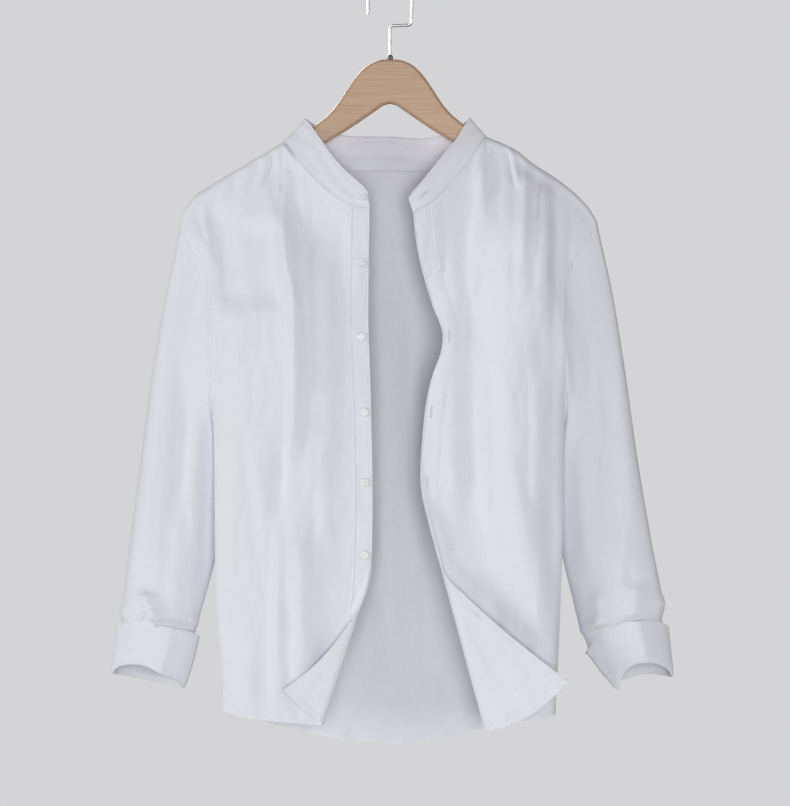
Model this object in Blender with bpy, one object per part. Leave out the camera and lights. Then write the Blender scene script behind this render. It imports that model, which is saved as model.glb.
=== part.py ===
"""A linen shirt with a band collar, its front open, on a wooden hanger with a bent wire hook.

Metres, +Z up. The front faces -Y and the wearer's right side is at -X. The origin is the
point where the hook's top bar rests on a rail, so the whole object hangs below it.
The tables are in millimetres, with one row for each place along a seam, edge or fold.
"""

import math

import bpy
import numpy as np

MM = 0.001

# Cloth and seams (mm)
CLOTH = 2.0
STRIP_CLOTH = 1.2
BAND_CLOTH = 2.2
SEAM_GAP = 0.3
BAND_GAP = 0.8
SHOULDER_GAP = 1.2
SHOULDER_GAP_REACH = 0.1
ARMHOLE_GAP = 1.0
STRIP_WIDTH = 22.0
STRIP_END = 1.5

# How the cloth lies over the shoulders and hangs from them (mm)
RIDGE_RADIUS = 8.5
FRONT_RIDGE_REACH = 0.04
BACK_RIDGE_REACH = 0.02
SHOULDER_FALL = 150.0
UNDERARM_Z = -530.0
YOKE_Z = -300.0

# Shares of the way from a panel's top edge to its hem
UNDERARM_SHARE = 0.45
YOKE_SHARE = 0.11

# Hanger and hook (mm)
WOOD_THICK = 12.0
WOOD_ROUND = 3.0
WIRE = 3.5
BEND_STEPS = 4
FERRULE_HEIGHT = 5.0
FERRULE_RADIUS = 3.6

# Buttons (mm)
BUTTON_RADIUS = 5.5
BUTTON_THICK = 2.4
BUTTON_SHANK = 0.6
BUTTON_SIDES = 12


def table(columns, *rows):
    """The rows as one array for each named column."""
    return dict(zip(columns.split(), np.array(rows, float).T))


# The front's level section, from its side seam round to its front edge. The place is
# measured along the cloth from the outermost point, and is less than 0 behind it.
FRONT_SECTION = table(
    "place inward depth",
    (-32, 22, -8),
    (-11, 6, 6),
    (0, 0, 16),
    (10, 4.5, 24),
    (28, 20, 31),
    (69, 60, 35.5),
    (240, 230, 39),
)
SEAM_PLACE = -32.0
ARMHOLE_PLACE = 22.0
SINKS_FROM = 0.24
FULL_PLACE = FRONT_SECTION["place"][-1]
FULL_INWARD = FRONT_SECTION["inward"][-1]

# The collar seam and the band's top edge, from the right front end round the back.
COLLAR = table(
    "at x y z top_x top_y top_z",
    (0.00, -23.5, -38, -254, -25.5, -36.5, -231),
    (0.06, -48.2, -36.5, -249.3, -38, -34, -220.5),
    (0.13, -74.1, -30.5, -231.7, -56, -28, -203.5),
    (0.19, -94.1, -23.5, -212.9, -70, -21, -186.5),
    (0.25, -110, -16, -194.5, -83, -13.5, -167.5),
    (0.29, -120.5, -9, -180.5, -92, -7, -154.5),
    (0.33, -126.5, 0, -172.5, -99.5, 0, -144.5),
    (0.37, -119.5, 9.5, -182, -96, 9, -146.5),
    (0.41, -98, 18, -196, -80, 17.5, -155),
    (0.46, -62, 25, -204, -53, 23.5, -162),
    (0.52, 0, 28, -205, 0, 27, -163),
    (0.58, 50, 25, -203, 45, 24, -165),
    (0.62, 85, 18, -192, 74, 17.5, -158),
    (0.66, 106, 9.5, -176.5, 90, 9, -147),
    (0.70, 113.5, 0, -166, 94, 0, -143.5),
    (0.74, 108, -9, -175, 88, -7, -153),
    (0.78, 100, -16, -187.5, 79, -13.5, -168),
    (0.84, 84.7, -23.5, -207, 66, -21, -184.5),
    (0.89, 64.7, -30.5, -230.5, 51, -28, -203.5),
    (0.95, 45, -36.5, -248, 35.3, -34, -223.4),
    (1.00, 27, -38, -258.7, 21.5, -36.5, -238),
)
RIGHT_NECK_AT = 0.33
LEFT_NECK_AT = 0.70

# Each side of the shirt. The shoulder runs from the neck out to the armhole, the side from
# the armhole's top to the hem, and the edge from the collar to the corner at the hem.
RIGHT = {
    "shoulder": table(
        "x z",
        (-126.5, -172.5),
        (-145.8, -184),
        (-176.4, -202),
        (-209.3, -222),
        (-235.2, -241),
        (-243, -253),
        (-249.3, -277.5),
    ),
    "side": table(
        "z x",
        (-277.5, -249.3),
        (-295, -238.7),
        (-313, -228),
        (-332, -220),
        (-372, -215),
        (-434, -210.5),
        (-530, -207),
        (-642, -205.8),
        (-736, -203.4),
        (-789, -198.5),
        (-842, -198.5),
    ),
    "edge": table(
        "z x",
        (-254, -23.5),
        (-395, -24.5),
        (-480, -21.8),
        (-689, -22.3),
        (-740, -26),
        (-803, -22.7),
        (-856, -8),
    ),
    "hem": table(
        "share z",
        (0, -842),
        (0.2, -851),
        (0.42, -855),
        (0.62, -857),
        (0.8, -857),
        (1, -852),
    ),
    "corner": {"x": -44.7, "z": -752.6, "to_x": -76.4, "to_z": -850.2, "radius": 7.0},
    "neck": (0.0, RIGHT_NECK_AT),
}
LEFT = {
    "shoulder": table(
        "x z",
        (113.5, -166),
        (135.2, -175),
        (150.5, -183),
        (166, -195.5),
        (199.9, -218),
        (225.8, -240),
        (237.6, -254),
        (244.6, -268),
    ),
    "side": table(
        "z x",
        (-268, 244.6),
        (-289, 236.4),
        (-313, 218.7),
        (-332, 210.5),
        (-383, 206),
        (-475, 205.8),
        (-530, 204.6),
        (-630, 203.4),
        (-701, 201),
        (-786, 197.6),
        (-848, 194),
    ),
    "edge": table(
        "z x",
        (-258.7, 27),
        (-300, 31.8),
        (-327, 37.6),
        (-362, 48.2),
        (-403, 61.5),
        (-420, 59.5),
        (-460, 46.5),
        (-524, 37.6),
        (-600, 37.4),
        (-640, 45),
        (-668, 52),
        (-715, 42),
        (-770, 24.5),
        (-866, -13),
    ),
    "hem": table(
        "share z",
        (0, -848),
        (0.21, -853),
        (0.41, -862),
        (0.55, -871),
        (0.7, -875),
        (0.85, -871),
        (1, -863),
    ),
    "corner": {"x": 62.3, "z": -683.3, "to_x": 102.3, "to_z": -831.4, "radius": 9.0},
    "neck": (1.0, LEFT_NECK_AT),
}

# The large folds. A height is how far the cloth stands out, and is less than 0 in a trough.
# The bow moves the middle of the fold sideways.
FRONT_FOLDS = table(
    "top_x top_z low_x low_z bow width height",
    (-207, -240, -108, -470, -20, 17, -7),
    (-106, -430, -132, -650, 0, 20, -6),
    (-137, -262, -94, -490, 4, 14, 6.5),
    (-197, -340, -190, -590, 0, 11, 4.5),
    (-62, -560, -84, -790, 0, 22, 3.5),
    (-160, -600, -165, -850, 0, 16, 4),
    (112, -265, 121, -665, 4, 24, 8.5),
    (119, -600, 158, -800, 0, 20, 6),
    (72, -350, 77, -660, 5, 13, -6.5),
    (160, -370, 149, -630, -6, 13, -5.5),
    (176, -440, 184, -840, 0, 13, 4.5),
    (186, -205, 181, -360, 0, 12, 4),
    (160, -196, 156, -310, 0, 11, 3.5),
)
BACK_FOLDS = table(
    "top_x top_z low_x low_z bow width height",
    (-150, -330, -142, -850, 6, 20, 7),
    (-104, -300, -98, -860, -5, 17, -7),
    (-58, -310, -50, -880, 4, 20, 8),
    (-4, -330, 4, -885, -4, 18, -6),
    (52, -310, 46, -880, 5, 20, 7.5),
    (100, -300, 104, -860, -4, 18, -7),
    (148, -340, 140, -850, 5, 19, 7),
)

# The back's edge along each armhole: how far out and how deep, by share of the way down.
BACK_ARMHOLE = table(
    "share width depth",
    (0.00, 1.000, 27),
    (0.08, 0.930, 28),
    (0.20, 0.870, 30),
    (0.30, 0.830, 30),
    (0.38, 0.790, 26),
    (0.43, 0.755, 18),
    (0.45, 0.745, 8),
)
# The middle of the back, and its hem by share of the width.
BACK_DEPTH = table("share depth", (0, 28), (0.11, 33), (0.45, 38), (1, 36))
BACK_HEM = table(
    "share z",
    (0, -842),
    (0.06, -856),
    (0.23, -875),
    (0.38, -885.5),
    (0.53, -888),
    (0.65, -885.5),
    (0.74, -878.5),
    (0.83, -869),
    (0.92, -859.5),
    (1, -848),
)

# The arms, from the armhole down to the cuff's lowest turn. The outer and inner lines are
# seen from in front, front and back are the half depths, the lean sets the inner line back
# behind the body, and the arch lifts the front rim.
RIGHT_ARM = table(
    "at out_x out_z in_x in_z front back mid lean arch",
    (0.00, -250, -279, -184, -530, 23, 23, 2, 6, 0),
    (0.16, -267.5, -363, -189, -568, 26, 16, 3, 20, 0),
    (0.31, -281.5, -442, -195, -608, 28, 19, 6, 21, 0),
    (0.50, -295, -541, -205, -652, 29, 23, 9, 15, 0),
    (0.72, -310, -657, -219, -707, 29, 28, 10, 6, 2),
    (0.86, -319.5, -739, -230, -749, 28, 28, 9, 0, 8),
    (0.90, -320.5, -756, -233, -764, 28, 28, 8, 0, 11),
    (1.00, -326.5, -808, -247, -816, 27, 27, 6, 0, 20),
)
LEFT_ARM = table(
    "at out_x out_z in_x in_z front back mid lean arch",
    (0.00, 245.3, -270, 182, -530, 23, 23, 2, 6, 0),
    (0.16, 264, -356, 187, -568, 26, 16, 3, 20, 0),
    (0.31, 278, -440, 194, -610, 28, 19, 6, 21, 0),
    (0.50, 292, -538, 204, -656, 29, 23, 9, 15, 0),
    (0.72, 310, -645, 217, -711, 29, 28, 10, 6, 2),
    (0.86, 325, -730, 229, -757, 28, 28, 9, 0, 8),
    (0.90, 325.5, -750, 234, -767, 28, 28, 8, 0, 11),
    (1.00, 331, -803, 252, -815, 27, 27, 6, 0, 20),
)
ARM_FOLDS = table(
    "top_x top_z low_x low_z bow width height",
    (-262, -330, -296, -690, -4, 12, 4),
    (-243, -400, -262, -720, 0, 11, -4.5),
    (-226, -480, -240, -730, 4, 10, 4),
    (-288, -700, -276, -742, 0, 11, 5),
    (256, -330, 300, -650, 4, 13, 4),
    (236, -380, 268, -700, 0, 12, -4.5),
    (223, -520, 236, -700, -3, 10, 4),
    (290, -690, 286, -738, 0, 13, 5),
    (244, -700, 248, -752, 0, 10, 5),
)
ARMHOLE_SHARE = 0.25
UNDERARM_CLEAR = 3.0

# The turned-back cuff's section: where it lies along the arm, and how far out of it.
CUFF_SECTION = table(
    "at out",
    (0.878, 5.2),
    (0.905, 5.4),
    (0.935, 5.4),
    (0.965, 5.2),
    (0.985, 4.6),
    (0.996, 2.6),
    (0.985, 0.6),
    (0.968, 0),
)
SLEEVE_END = 0.968

# The hanger's wood, from its middle out to the end of one arm.
WOOD_TOP = table(
    "x z",
    (0, -74.5),
    (9, -74.8),
    (16, -76.3),
    (29, -83),
    (41, -96),
    (51, -110.5),
    (63.5, -129.4),
    (75, -142),
    (87, -151.5),
    (100, -165.5),
    (126, -186),
    (180, -220),
    (222, -246),
    (229, -252),
)
WOOD_UNDER = table(
    "x z",
    (229, -259),
    (222, -265),
    (180, -243),
    (126, -211),
    (76.4, -173),
    (54, -160),
    (36, -148),
    (17.6, -135.2),
    (8, -128.5),
    (0, -126.4),
)
# The hook's wire, by the corners of its middle line from the ferrule to the free end.
HOOK_CORNERS = table(
    "x z radius",
    (0, -73.9, 0),
    (0, -34.5, 4),
    (25, -33.5, 4),
    (26.5, 1.75, 6),
    (-26, 1.75, 6),
    (-26, -21, 0),
)

# Buttons: the height of each on the right front's strip, and the collar's own.
PLACKET_BUTTONS = table("z", (-317.5,), (-404,), (-491.6,), (-573.9,), (-658.6,))
BUTTON_FROM_EDGE = 11.0
COLLAR_BUTTON_AT = 0.028
COLLAR_BUTTON_RISE = 0.5

# The rows of every panel, as shares of the way down. Sleeves use those down to the underarm,
# and they are closer together where the corners are turned.
TURNED_FROM = 0.66
PANEL_ROWS = np.concatenate(
    [
        [0, 0.003, 0.009, 0.02, 0.04, 0.07],
        np.linspace(YOKE_SHARE, 0.4, 7),
        [0.43],
        np.linspace(UNDERARM_SHARE, TURNED_FROM, 6),
        np.linspace(TURNED_FROM, 1, 11)[1:],
    ]
)

# Columns. A front has some round its side, then some over its level part up to the strip,
# the flap and the fold of its corner. The back has some round each side, and some between.
SIDE_COLUMNS = 4
LEVEL_FROM = 36.0
LEVEL_COLUMNS = (0, 0.16, 0.32, 0.48, 0.6, 0.66, 0.77, 0.89)
NECK_COLUMN = 0.6
FLAP_LEAST = 8.0
FOLD_COLUMNS = 4
FLAP_COLUMNS = 2
STRIP_COLUMNS = 4
STRIP_FIRST_ROW = 1
SIDE_ROUND = 0.04
SIDE_ROUND_COLUMNS = 3
SHOULDER_COLUMNS = 5
NECK_ROUND = 0.014
NECK_COLUMNS = 10
BAND_ROWS = 4
ARM_ROWS = np.concatenate([[0, 0.045], np.linspace(0.09, SLEEVE_END, 13)])


def read(rows, key, where):
    """Every column of a table on a smooth curve over its key column, at the given places."""
    order = np.argsort(rows[key])
    knots = rows[key][order]
    where = np.clip(where, knots[0], knots[-1])
    low = np.clip(np.searchsorted(knots, where, side="right") - 1, 0, len(knots) - 2)
    span = knots[low + 1] - knots[low]
    t = (where - knots[low]) / span
    found = {}
    for name, column in rows.items():
        values = column[order]
        slopes = np.gradient(values, knots)
        found[name] = (
            (2 * t**3 - 3 * t**2 + 1) * values[low]
            + (t**3 - 2 * t**2 + t) * span * slopes[low]
            + (3 * t**2 - 2 * t**3) * values[low + 1]
            + (t**3 - t**2) * span * slopes[low + 1]
        )
    return found


def ease(amount):
    """0 to 1, soft at both ends."""
    amount = np.clip(amount, 0, 1)
    return amount * amount * (3 - 2 * amount)


def stacked(x, y, z):
    return np.stack(np.broadcast_arrays(x, y, z), axis=-1)


def unit(vectors):
    return vectors / np.maximum(np.linalg.norm(vectors, axis=-1, keepdims=True), 1e-12)


def fold_height(folds, x, z):
    """How far the folds push the cloth out at each place, seen from in front."""
    total = np.zeros(np.broadcast(x, z).shape)
    for top_x, top_z, low_x, low_z, bow, width, height in zip(*folds.values()):
        along = (top_z - z) / (top_z - low_z)
        middle = top_x + (low_x - top_x) * along + 4 * bow * along * (1 - along)
        ends = ease(along / 0.25) * ease((1 - along) / 0.25)
        total += height * ends * np.exp(-(((x - middle) / width) ** 2))
    return total


def shoulder_depth(below, depth, start, ridge):
    """Depth of cloth below a top edge: it rounds the shoulder, then fills out as it falls."""
    drop = np.clip(below / RIDGE_RADIUS, 0, 1)
    rounded = RIDGE_RADIUS * ridge * np.sqrt(1 - (1 - drop) ** 2)
    filled = (depth - start - RIDGE_RADIUS * ridge) * ease(below / SHOULDER_FALL)
    return start + rounded + filled


def neck_columns(side):
    """A front's top edge by share of its width: its height, depth and place on the collar."""
    shoulder = side["shoulder"]
    outer_x = side["side"]["x"][0]
    width = side["edge"]["x"][0] - outer_x
    share = np.linspace(0, 1, 161)
    shoulder_share = (shoulder["x"] - outer_x) / width
    neck_share = shoulder_share[0]
    curve = table("share z", *sorted(zip(shoulder_share, shoulder["z"])))
    front_end, neck_end = side["neck"]
    at = np.linspace(neck_end, front_end, 61)
    seam = read(COLLAR, "at", at)
    seam_share = (seam["x"] - outer_x) / width
    on_neck = share > neck_share
    collar_at = np.interp(share, seam_share, at)
    on_collar = read(COLLAR, "at", collar_at)
    return {
        "share": share,
        "z": np.where(on_neck, on_collar["z"], read(curve, "share", share)["z"]),
        "depth": np.where(on_neck, -on_collar["y"], 0),
        "at": collar_at,
        "neck": neck_share,
    }


def past_fold(points, corner):
    """How far points lie past the slanting line where a corner starts to turn, and which way."""
    along = np.array([corner["to_x"] - corner["x"], corner["to_z"] - corner["z"]])
    past = unit(np.array([-along[1], along[0]])) * (1 if corner["x"] < 0 else -1)
    start = np.array([corner["x"], corner["z"]]) - past * corner["radius"]
    return (points[..., [0, 2]] - start) @ past, past


def turn_corner(points, corner):
    """Rolls what lies past a slanting line outwards, so that the cloth's inside shows."""
    radius = corner["radius"]
    distance, past = past_fold(points, corner)
    turned = distance > 0
    rolled = np.clip(distance, 0, math.pi * radius)
    place = radius * np.sin(rolled / radius) - np.maximum(distance - math.pi * radius, 0)
    lift = radius * (1 - np.cos(rolled / radius))
    shift = np.where(turned, place - distance, 0)
    moved = points.copy()
    moved[..., 0] += shift * past[0]
    moved[..., 2] += shift * past[1]
    moved[..., 1] -= np.where(turned, lift, 0)
    return moved


def section_start(down):
    """Where a front's section starts: at the armhole seam, or lower down at the side seam."""
    fallen = np.clip((down - SINKS_FROM) / (UNDERARM_SHARE - SINKS_FROM), 0, 1)
    sunk = (ease(fallen) + 1 - np.sqrt(1 - fallen**2)) / 2
    return ARMHOLE_PLACE + (SEAM_PLACE - ARMHOLE_PLACE) * sunk


def front_surface(side, across, down, turned=True):
    """The middle of a front's cloth. Across is 0 at the seams and 1 at the front edge."""
    top = side["top"]
    start = section_start(down)
    place = start + (FULL_PLACE - start) * across
    section = read(FRONT_SECTION, "place", place)
    lead = read(FRONT_SECTION, "place", np.maximum(start, 0))["inward"]
    share = (section["inward"] - lead) / (FULL_INWARD - lead)
    visible = np.clip(np.where(place < 0, 0, share), 0, 1)
    top_z = np.interp(visible, top["share"], top["z"])
    hem_z = read(side["hem"], "share", visible)["z"]
    upper = np.clip(down / UNDERARM_SHARE, 0, 1)
    lower = np.clip((down - UNDERARM_SHARE) / (1 - UNDERARM_SHARE), 0, 1)
    z = top_z + (UNDERARM_Z - top_z) * upper + (hem_z - UNDERARM_Z) * lower
    side_x = read(side["side"], "z", z)["x"]
    edge_x = read(side["edge"], "z", z)["x"]
    x = side_x + (edge_x - side_x) * share
    ridge = 1 - ease((visible - top["neck"]) / FRONT_RIDGE_REACH)
    edge_depth = np.interp(visible, top["share"], top["depth"])
    depth = shoulder_depth(top_z - z, section["depth"], edge_depth, ridge)
    held = ease((top_z - z) / 30) * ease(place / 25)
    depth = depth + fold_height(FRONT_FOLDS, x, z) * held
    points = stacked(x, -depth, z)
    return turn_corner(points, side["corner"]) if turned else points


def across_share(across):
    """The share of a front's width in sight at places along its top edge."""
    place = ARMHOLE_PLACE + (FULL_PLACE - ARMHOLE_PLACE) * across
    inward = read(FRONT_SECTION, "place", place)["inward"]
    lead = read(FRONT_SECTION, "place", ARMHOLE_PLACE)["inward"]
    return (inward - lead) / (FULL_INWARD - lead)


def across_of(share, down):
    """Where a share of a front's width in sight lies on its section, as its across."""
    start = section_start(down)
    lead = read(FRONT_SECTION, "place", np.maximum(start, 0))["inward"]
    places = np.linspace(0, FULL_PLACE, 481)
    inward = read(FRONT_SECTION, "place", places)["inward"]
    place = np.interp(lead + share * (FULL_INWARD - lead), inward, places)
    return (place - start) / (FULL_PLACE - start)


def back_surface(across, down):
    """The middle of the back's cloth, from the right side (across 0) to the left (across 1)."""
    edges = []
    for side in (RIGHT, LEFT):
        hole = read(BACK_ARMHOLE, "share", np.minimum(down, UNDERARM_SHARE))
        seam = front_surface(side, 0 * down, np.maximum(down, UNDERARM_SHARE))
        outer_x = side["side"]["x"][0]
        at_seam = front_surface(side, np.zeros(1), np.full(1, UNDERARM_SHARE))[0, 0]
        spread = (hole["width"] - BACK_ARMHOLE["width"][-1]) / (1 - BACK_ARMHOLE["width"][-1])
        hole_x = at_seam + (outer_x - at_seam) * spread
        edges.append(np.where(down < UNDERARM_SHARE, hole_x, seam[..., 0]))
    right_x, left_x = edges
    edge_depth = read(BACK_ARMHOLE, "share", np.minimum(down, UNDERARM_SHARE))["depth"]
    x = right_x + (left_x - right_x) * across
    top_z = np.interp(across, BACK_TOP["share"], BACK_TOP["z"])
    start = np.interp(across, BACK_TOP["share"], BACK_TOP["depth"])
    hem_z = read(BACK_HEM, "share", across)["z"]
    yoke = np.clip(down / YOKE_SHARE, 0, 1)
    upper = np.clip((down - YOKE_SHARE) / (UNDERARM_SHARE - YOKE_SHARE), 0, 1)
    lower = np.clip((down - UNDERARM_SHARE) / (1 - UNDERARM_SHARE), 0, 1)
    z = top_z + (YOKE_Z - top_z) * yoke + (UNDERARM_Z - YOKE_Z) * upper
    z = z + (hem_z - UNDERARM_Z) * lower
    centre = read(BACK_DEPTH, "share", down)["depth"]
    middle = 1 - (1 - 4 * across * (1 - across)) ** 3
    depth = edge_depth + (centre - edge_depth) * middle
    right_neck, left_neck = BACK_TOP["necks"]
    inside = np.minimum(across - right_neck, left_neck - across)
    ridge = 1 - ease(inside / BACK_RIDGE_REACH)
    depth = shoulder_depth(top_z - z, depth, start, ridge)
    held = ease((top_z - z) / 60) * ease(np.minimum(across, 1 - across) / 0.08)
    return stacked(x, depth + fold_height(BACK_FOLDS, x, z) * held, z)


def back_top():
    """The back's top edge by share of its width: its height and depth."""
    right_x = RIGHT["side"]["x"][0]
    width = LEFT["side"]["x"][0] - right_x
    neck = read(COLLAR, "at", np.linspace(RIGHT_NECK_AT, LEFT_NECK_AT, 81))
    right = RIGHT["shoulder"]
    left = LEFT["shoulder"]
    x = np.concatenate([right["x"][:0:-1], neck["x"], left["x"][1:]])
    z = np.concatenate([right["z"][:0:-1], neck["z"], left["z"][1:]])
    depth = np.concatenate([0 * right["x"][1:], neck["y"], 0 * left["x"][1:]])
    share = (x - right_x) / width
    necks = [(neck["x"][0] - right_x) / width, (neck["x"][-1] - right_x) / width]
    fine = np.unique(np.concatenate([share, np.linspace(0, 1, 161)]))
    right_curve = read(right, "x", right_x + width * fine)["z"]
    left_curve = read(left, "x", right_x + width * fine)["z"]
    rough = np.interp(fine, share, z)
    smooth = np.where(fine < necks[0], right_curve, np.where(fine > necks[1], left_curve, rough))
    return {
        "share": fine,
        "z": smooth,
        "depth": np.interp(fine, share, depth),
        "necks": necks,
    }


def arm_surface(arm, side, back_across, angle, at):
    """The middle of a sleeve's cloth. The angle is 0 on its outer line, then goes in front."""
    rows = read(arm, "at", at)
    along = (1 - np.cos(angle)) / 2
    swell = np.sin(angle)
    points = stacked(
        rows["out_x"] + (rows["in_x"] - rows["out_x"]) * along,
        rows["mid"]
        + rows["lean"] * along
        - np.where(swell > 0, rows["front"], rows["back"]) * swell,
        rows["out_z"] + (rows["in_z"] - rows["out_z"]) * along + rows["arch"] * np.maximum(swell, 0),
    )
    down = UNDERARM_SHARE * along
    hole = np.where(
        (swell >= 0)[..., None],
        front_surface(side, 0 * down, down),
        back_surface(back_across + 0 * down, down),
    )
    first = {name: column[0] for name, column in arm.items()}
    plain = stacked(
        first["out_x"] + (first["in_x"] - first["out_x"]) * along,
        first["mid"]
        + first["lean"] * along
        - np.where(swell > 0, first["front"], first["back"]) * swell,
        first["out_z"] + (first["in_z"] - first["out_z"]) * along,
    )
    near = 1 - ease(at / ARMHOLE_SHARE)
    outwards = -1 if arm["out_x"][0] < 0 else 1
    clear = UNDERARM_CLEAR * ease((along - 0.5) / 0.35) * near
    points = points + (hole - plain) * near[..., None]
    points[..., 0] += outwards * clear * 0.8
    points[..., 1] += clear * 0.6
    folds = fold_height(ARM_FOLDS, points[..., 0], points[..., 2])
    points[..., 1] -= folds * swell * ease(at / 0.2) * ease((SLEEVE_END - at) / 0.12)
    return points


def with_normals(surface, first, second):
    """The surface's points and its unit normals, at a grid of its two measures."""
    step = 1e-4
    points = surface(first, second)
    along_first = surface(first + step, second) - surface(first - step, second)
    along_second = surface(first, second + step) - surface(first, second - step)
    return points, unit(np.cross(along_first, along_second))


def grid_normals(points, closed=False):
    """The unit normals of a grid of points, each from its neighbours in the row and column."""
    down = np.gradient(points, axis=0)
    across = np.gradient(points, axis=1)
    if closed:
        across = np.roll(points, -1, axis=1) - np.roll(points, 1, axis=1)
    return unit(np.cross(across, down))


def panel_grid(surface, across, down):
    """A panel's points and normals. Its seams along the top and sides keep the exact normals."""
    points, exact = with_normals(surface, across, down)
    normals = grid_normals(points)
    normals[0] = exact[0]
    normals[:, 0] = exact[:, 0]
    normals[:, -1] = exact[:, -1]
    return points, normals


def inset(points, rows=(0, 0), columns=(0, 0)):
    """Draws a grid's edges in by these distances: first and last row, first and last column."""
    moved = points.copy()
    moved[0] += unit(points[1] - points[0]) * rows[0]
    moved[-1] += unit(points[-2] - points[-1]) * rows[1]
    moved[:, 0] += unit(points[:, 1] - points[:, 0]) * columns[0]
    moved[:, -1] += unit(points[:, -2] - points[:, -1]) * columns[1]
    return moved


def material(name, colour, roughness, metallic=0.0):
    made = bpy.data.materials.new(name)
    made.use_nodes = True
    shader = made.node_tree.nodes["Principled BSDF"]
    shader.inputs["Base Color"].default_value = (*colour, 1)
    shader.inputs["Roughness"].default_value = roughness
    shader.inputs["Metallic"].default_value = metallic
    return made


def add_object(name, mesh, finish):
    mesh.materials.append(finish)
    made = bpy.data.objects.new(name, mesh)
    bpy.context.scene.collection.objects.link(made)
    return made


def add_wall(name, points, normals, thickness, finish, closed=False, lift=0.0):
    """A closed wall of cloth about a grid of points, lifted off it along its normals."""
    rows, columns = points.shape[:2]
    outer = points + normals * (lift + thickness / 2)
    inner = points + normals * (lift - thickness / 2)
    vertices = np.concatenate([outer.reshape(-1, 3), inner.reshape(-1, 3)]) * MM
    inside = rows * columns
    faces = []

    def quad(a, b, c, d):
        faces.extend([(a, b, d), (b, c, d)])

    spans = columns if closed else columns - 1
    for row in range(rows - 1):
        for column in range(spans):
            beside = (column + 1) % columns
            a = row * columns + column
            b = row * columns + beside
            c = (row + 1) * columns + beside
            d = (row + 1) * columns + column
            quad(a, b, c, d)
            faces.extend([(inside + d, inside + b, inside + a), (inside + d, inside + c, inside + b)])
    for column in range(spans):
        beside = (column + 1) % columns
        low = (rows - 1) * columns
        quad(beside, column, inside + column, inside + beside)
        quad(low + column, low + beside, inside + low + beside, inside + low + column)
    if not closed:
        for row in range(rows - 1):
            a = row * columns
            b = (row + 1) * columns
            quad(a, b, inside + b, inside + a)
            a += columns - 1
            b += columns - 1
            quad(b, a, inside + a, inside + b)
    corners = vertices[np.array(faces)]
    volume = np.einsum("ij,ij->", corners[:, 0], np.cross(corners[:, 1], corners[:, 2]))
    if volume < 0:
        faces = [face[::-1] for face in faces]
    mesh = bpy.data.meshes.new(name)
    mesh.from_pydata(vertices.tolist(), [], faces)
    mesh.shade_smooth()
    mesh.set_sharp_from_angle(angle=math.radians(50))
    return add_object(name, mesh, finish)


def front_columns(side):
    """Where a front's columns lie on each row, as a grid of across. They follow its corner."""
    roll = math.pi * side["corner"]["radius"]
    strip = np.linspace(0, STRIP_WIDTH, STRIP_COLUMNS + 1)
    grid = []
    for down in PANEL_ROWS:
        edge = front_surface(side, np.ones(1), np.full(1, down), turned=False)[0]
        distance, past = past_fold(edge, side["corner"])
        width = abs(edge[0] - read(side["side"], "z", edge[2])["x"])
        fold_start = max(STRIP_WIDTH + FLAP_LEAST + roll, distance / abs(past[0]))
        flap_end = max(STRIP_WIDTH + FLAP_LEAST, fold_start - roll)
        flap = np.linspace(STRIP_WIDTH, flap_end, FLAP_COLUMNS + 1)[1:]
        fold = np.linspace(flap_end, fold_start, FOLD_COLUMNS + 1)[1:]
        near = across_of(1 - np.concatenate([strip, flap, fold]) / width, down)
        start = section_start(down)
        level = (LEVEL_FROM - start) / (FULL_PLACE - start)
        if not grid:
            neck = (across_of(side["top"]["neck"], down) - level) / (near[-1] - level)
        wide = np.interp(LEVEL_COLUMNS, (0, NECK_COLUMN, 1), (0, neck, 1))
        rounded = np.arange(SIDE_COLUMNS) / SIDE_COLUMNS * level
        grid.append(np.concatenate([rounded, level + wide * (near[-1] - level), near[::-1]]))
    return np.array(grid)


def stations_on_collar(side):
    """The places on the collar seam of a front's own columns, so that both have the same."""
    share = across_share(front_columns(side)[0])
    inside = share > side["top"]["neck"] + 1e-6
    return np.interp(share[inside], side["top"]["share"], side["top"]["at"])


def build_fronts(cloth):
    """Both fronts, each with its placket strip on it."""
    for name, side in (("right", RIGHT), ("left", LEFT)):
        across = front_columns(side)
        down = np.broadcast_to(PANEL_ROWS[:, None], across.shape)
        points, normals = panel_grid(lambda a, d: front_surface(side, a, d), across, down)
        flat = inset(points, rows=(SEAM_GAP / 2, 0), columns=(SEAM_GAP, 0))
        outwards = normals * (-1 if name == "right" else 1)
        add_wall(f"front_{name}", flat, outwards, CLOTH, cloth)
        strip = inset(points, rows=(0, STRIP_END))[STRIP_FIRST_ROW:, -STRIP_COLUMNS - 1 :]
        lift = CLOTH / 2 + SEAM_GAP + STRIP_CLOTH / 2
        strip_normals = outwards[STRIP_FIRST_ROW:, -STRIP_COLUMNS - 1 :]
        add_wall(f"placket_{name}", strip, strip_normals, STRIP_CLOTH, cloth, lift=lift)


def back_columns():
    """The back's columns by share of its width, closer together where it rounds its sides."""
    right_neck, left_neck = BACK_TOP["necks"]
    return np.concatenate(
        [
            np.linspace(0, SIDE_ROUND, SIDE_ROUND_COLUMNS),
            np.linspace(SIDE_ROUND, right_neck, SHOULDER_COLUMNS)[1:],
            np.linspace(right_neck + NECK_ROUND, left_neck - NECK_ROUND, NECK_COLUMNS),
            np.linspace(left_neck, 1 - SIDE_ROUND, SHOULDER_COLUMNS),
            np.linspace(1 - SIDE_ROUND, 1, SIDE_ROUND_COLUMNS)[1:],
        ]
    )


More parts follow.
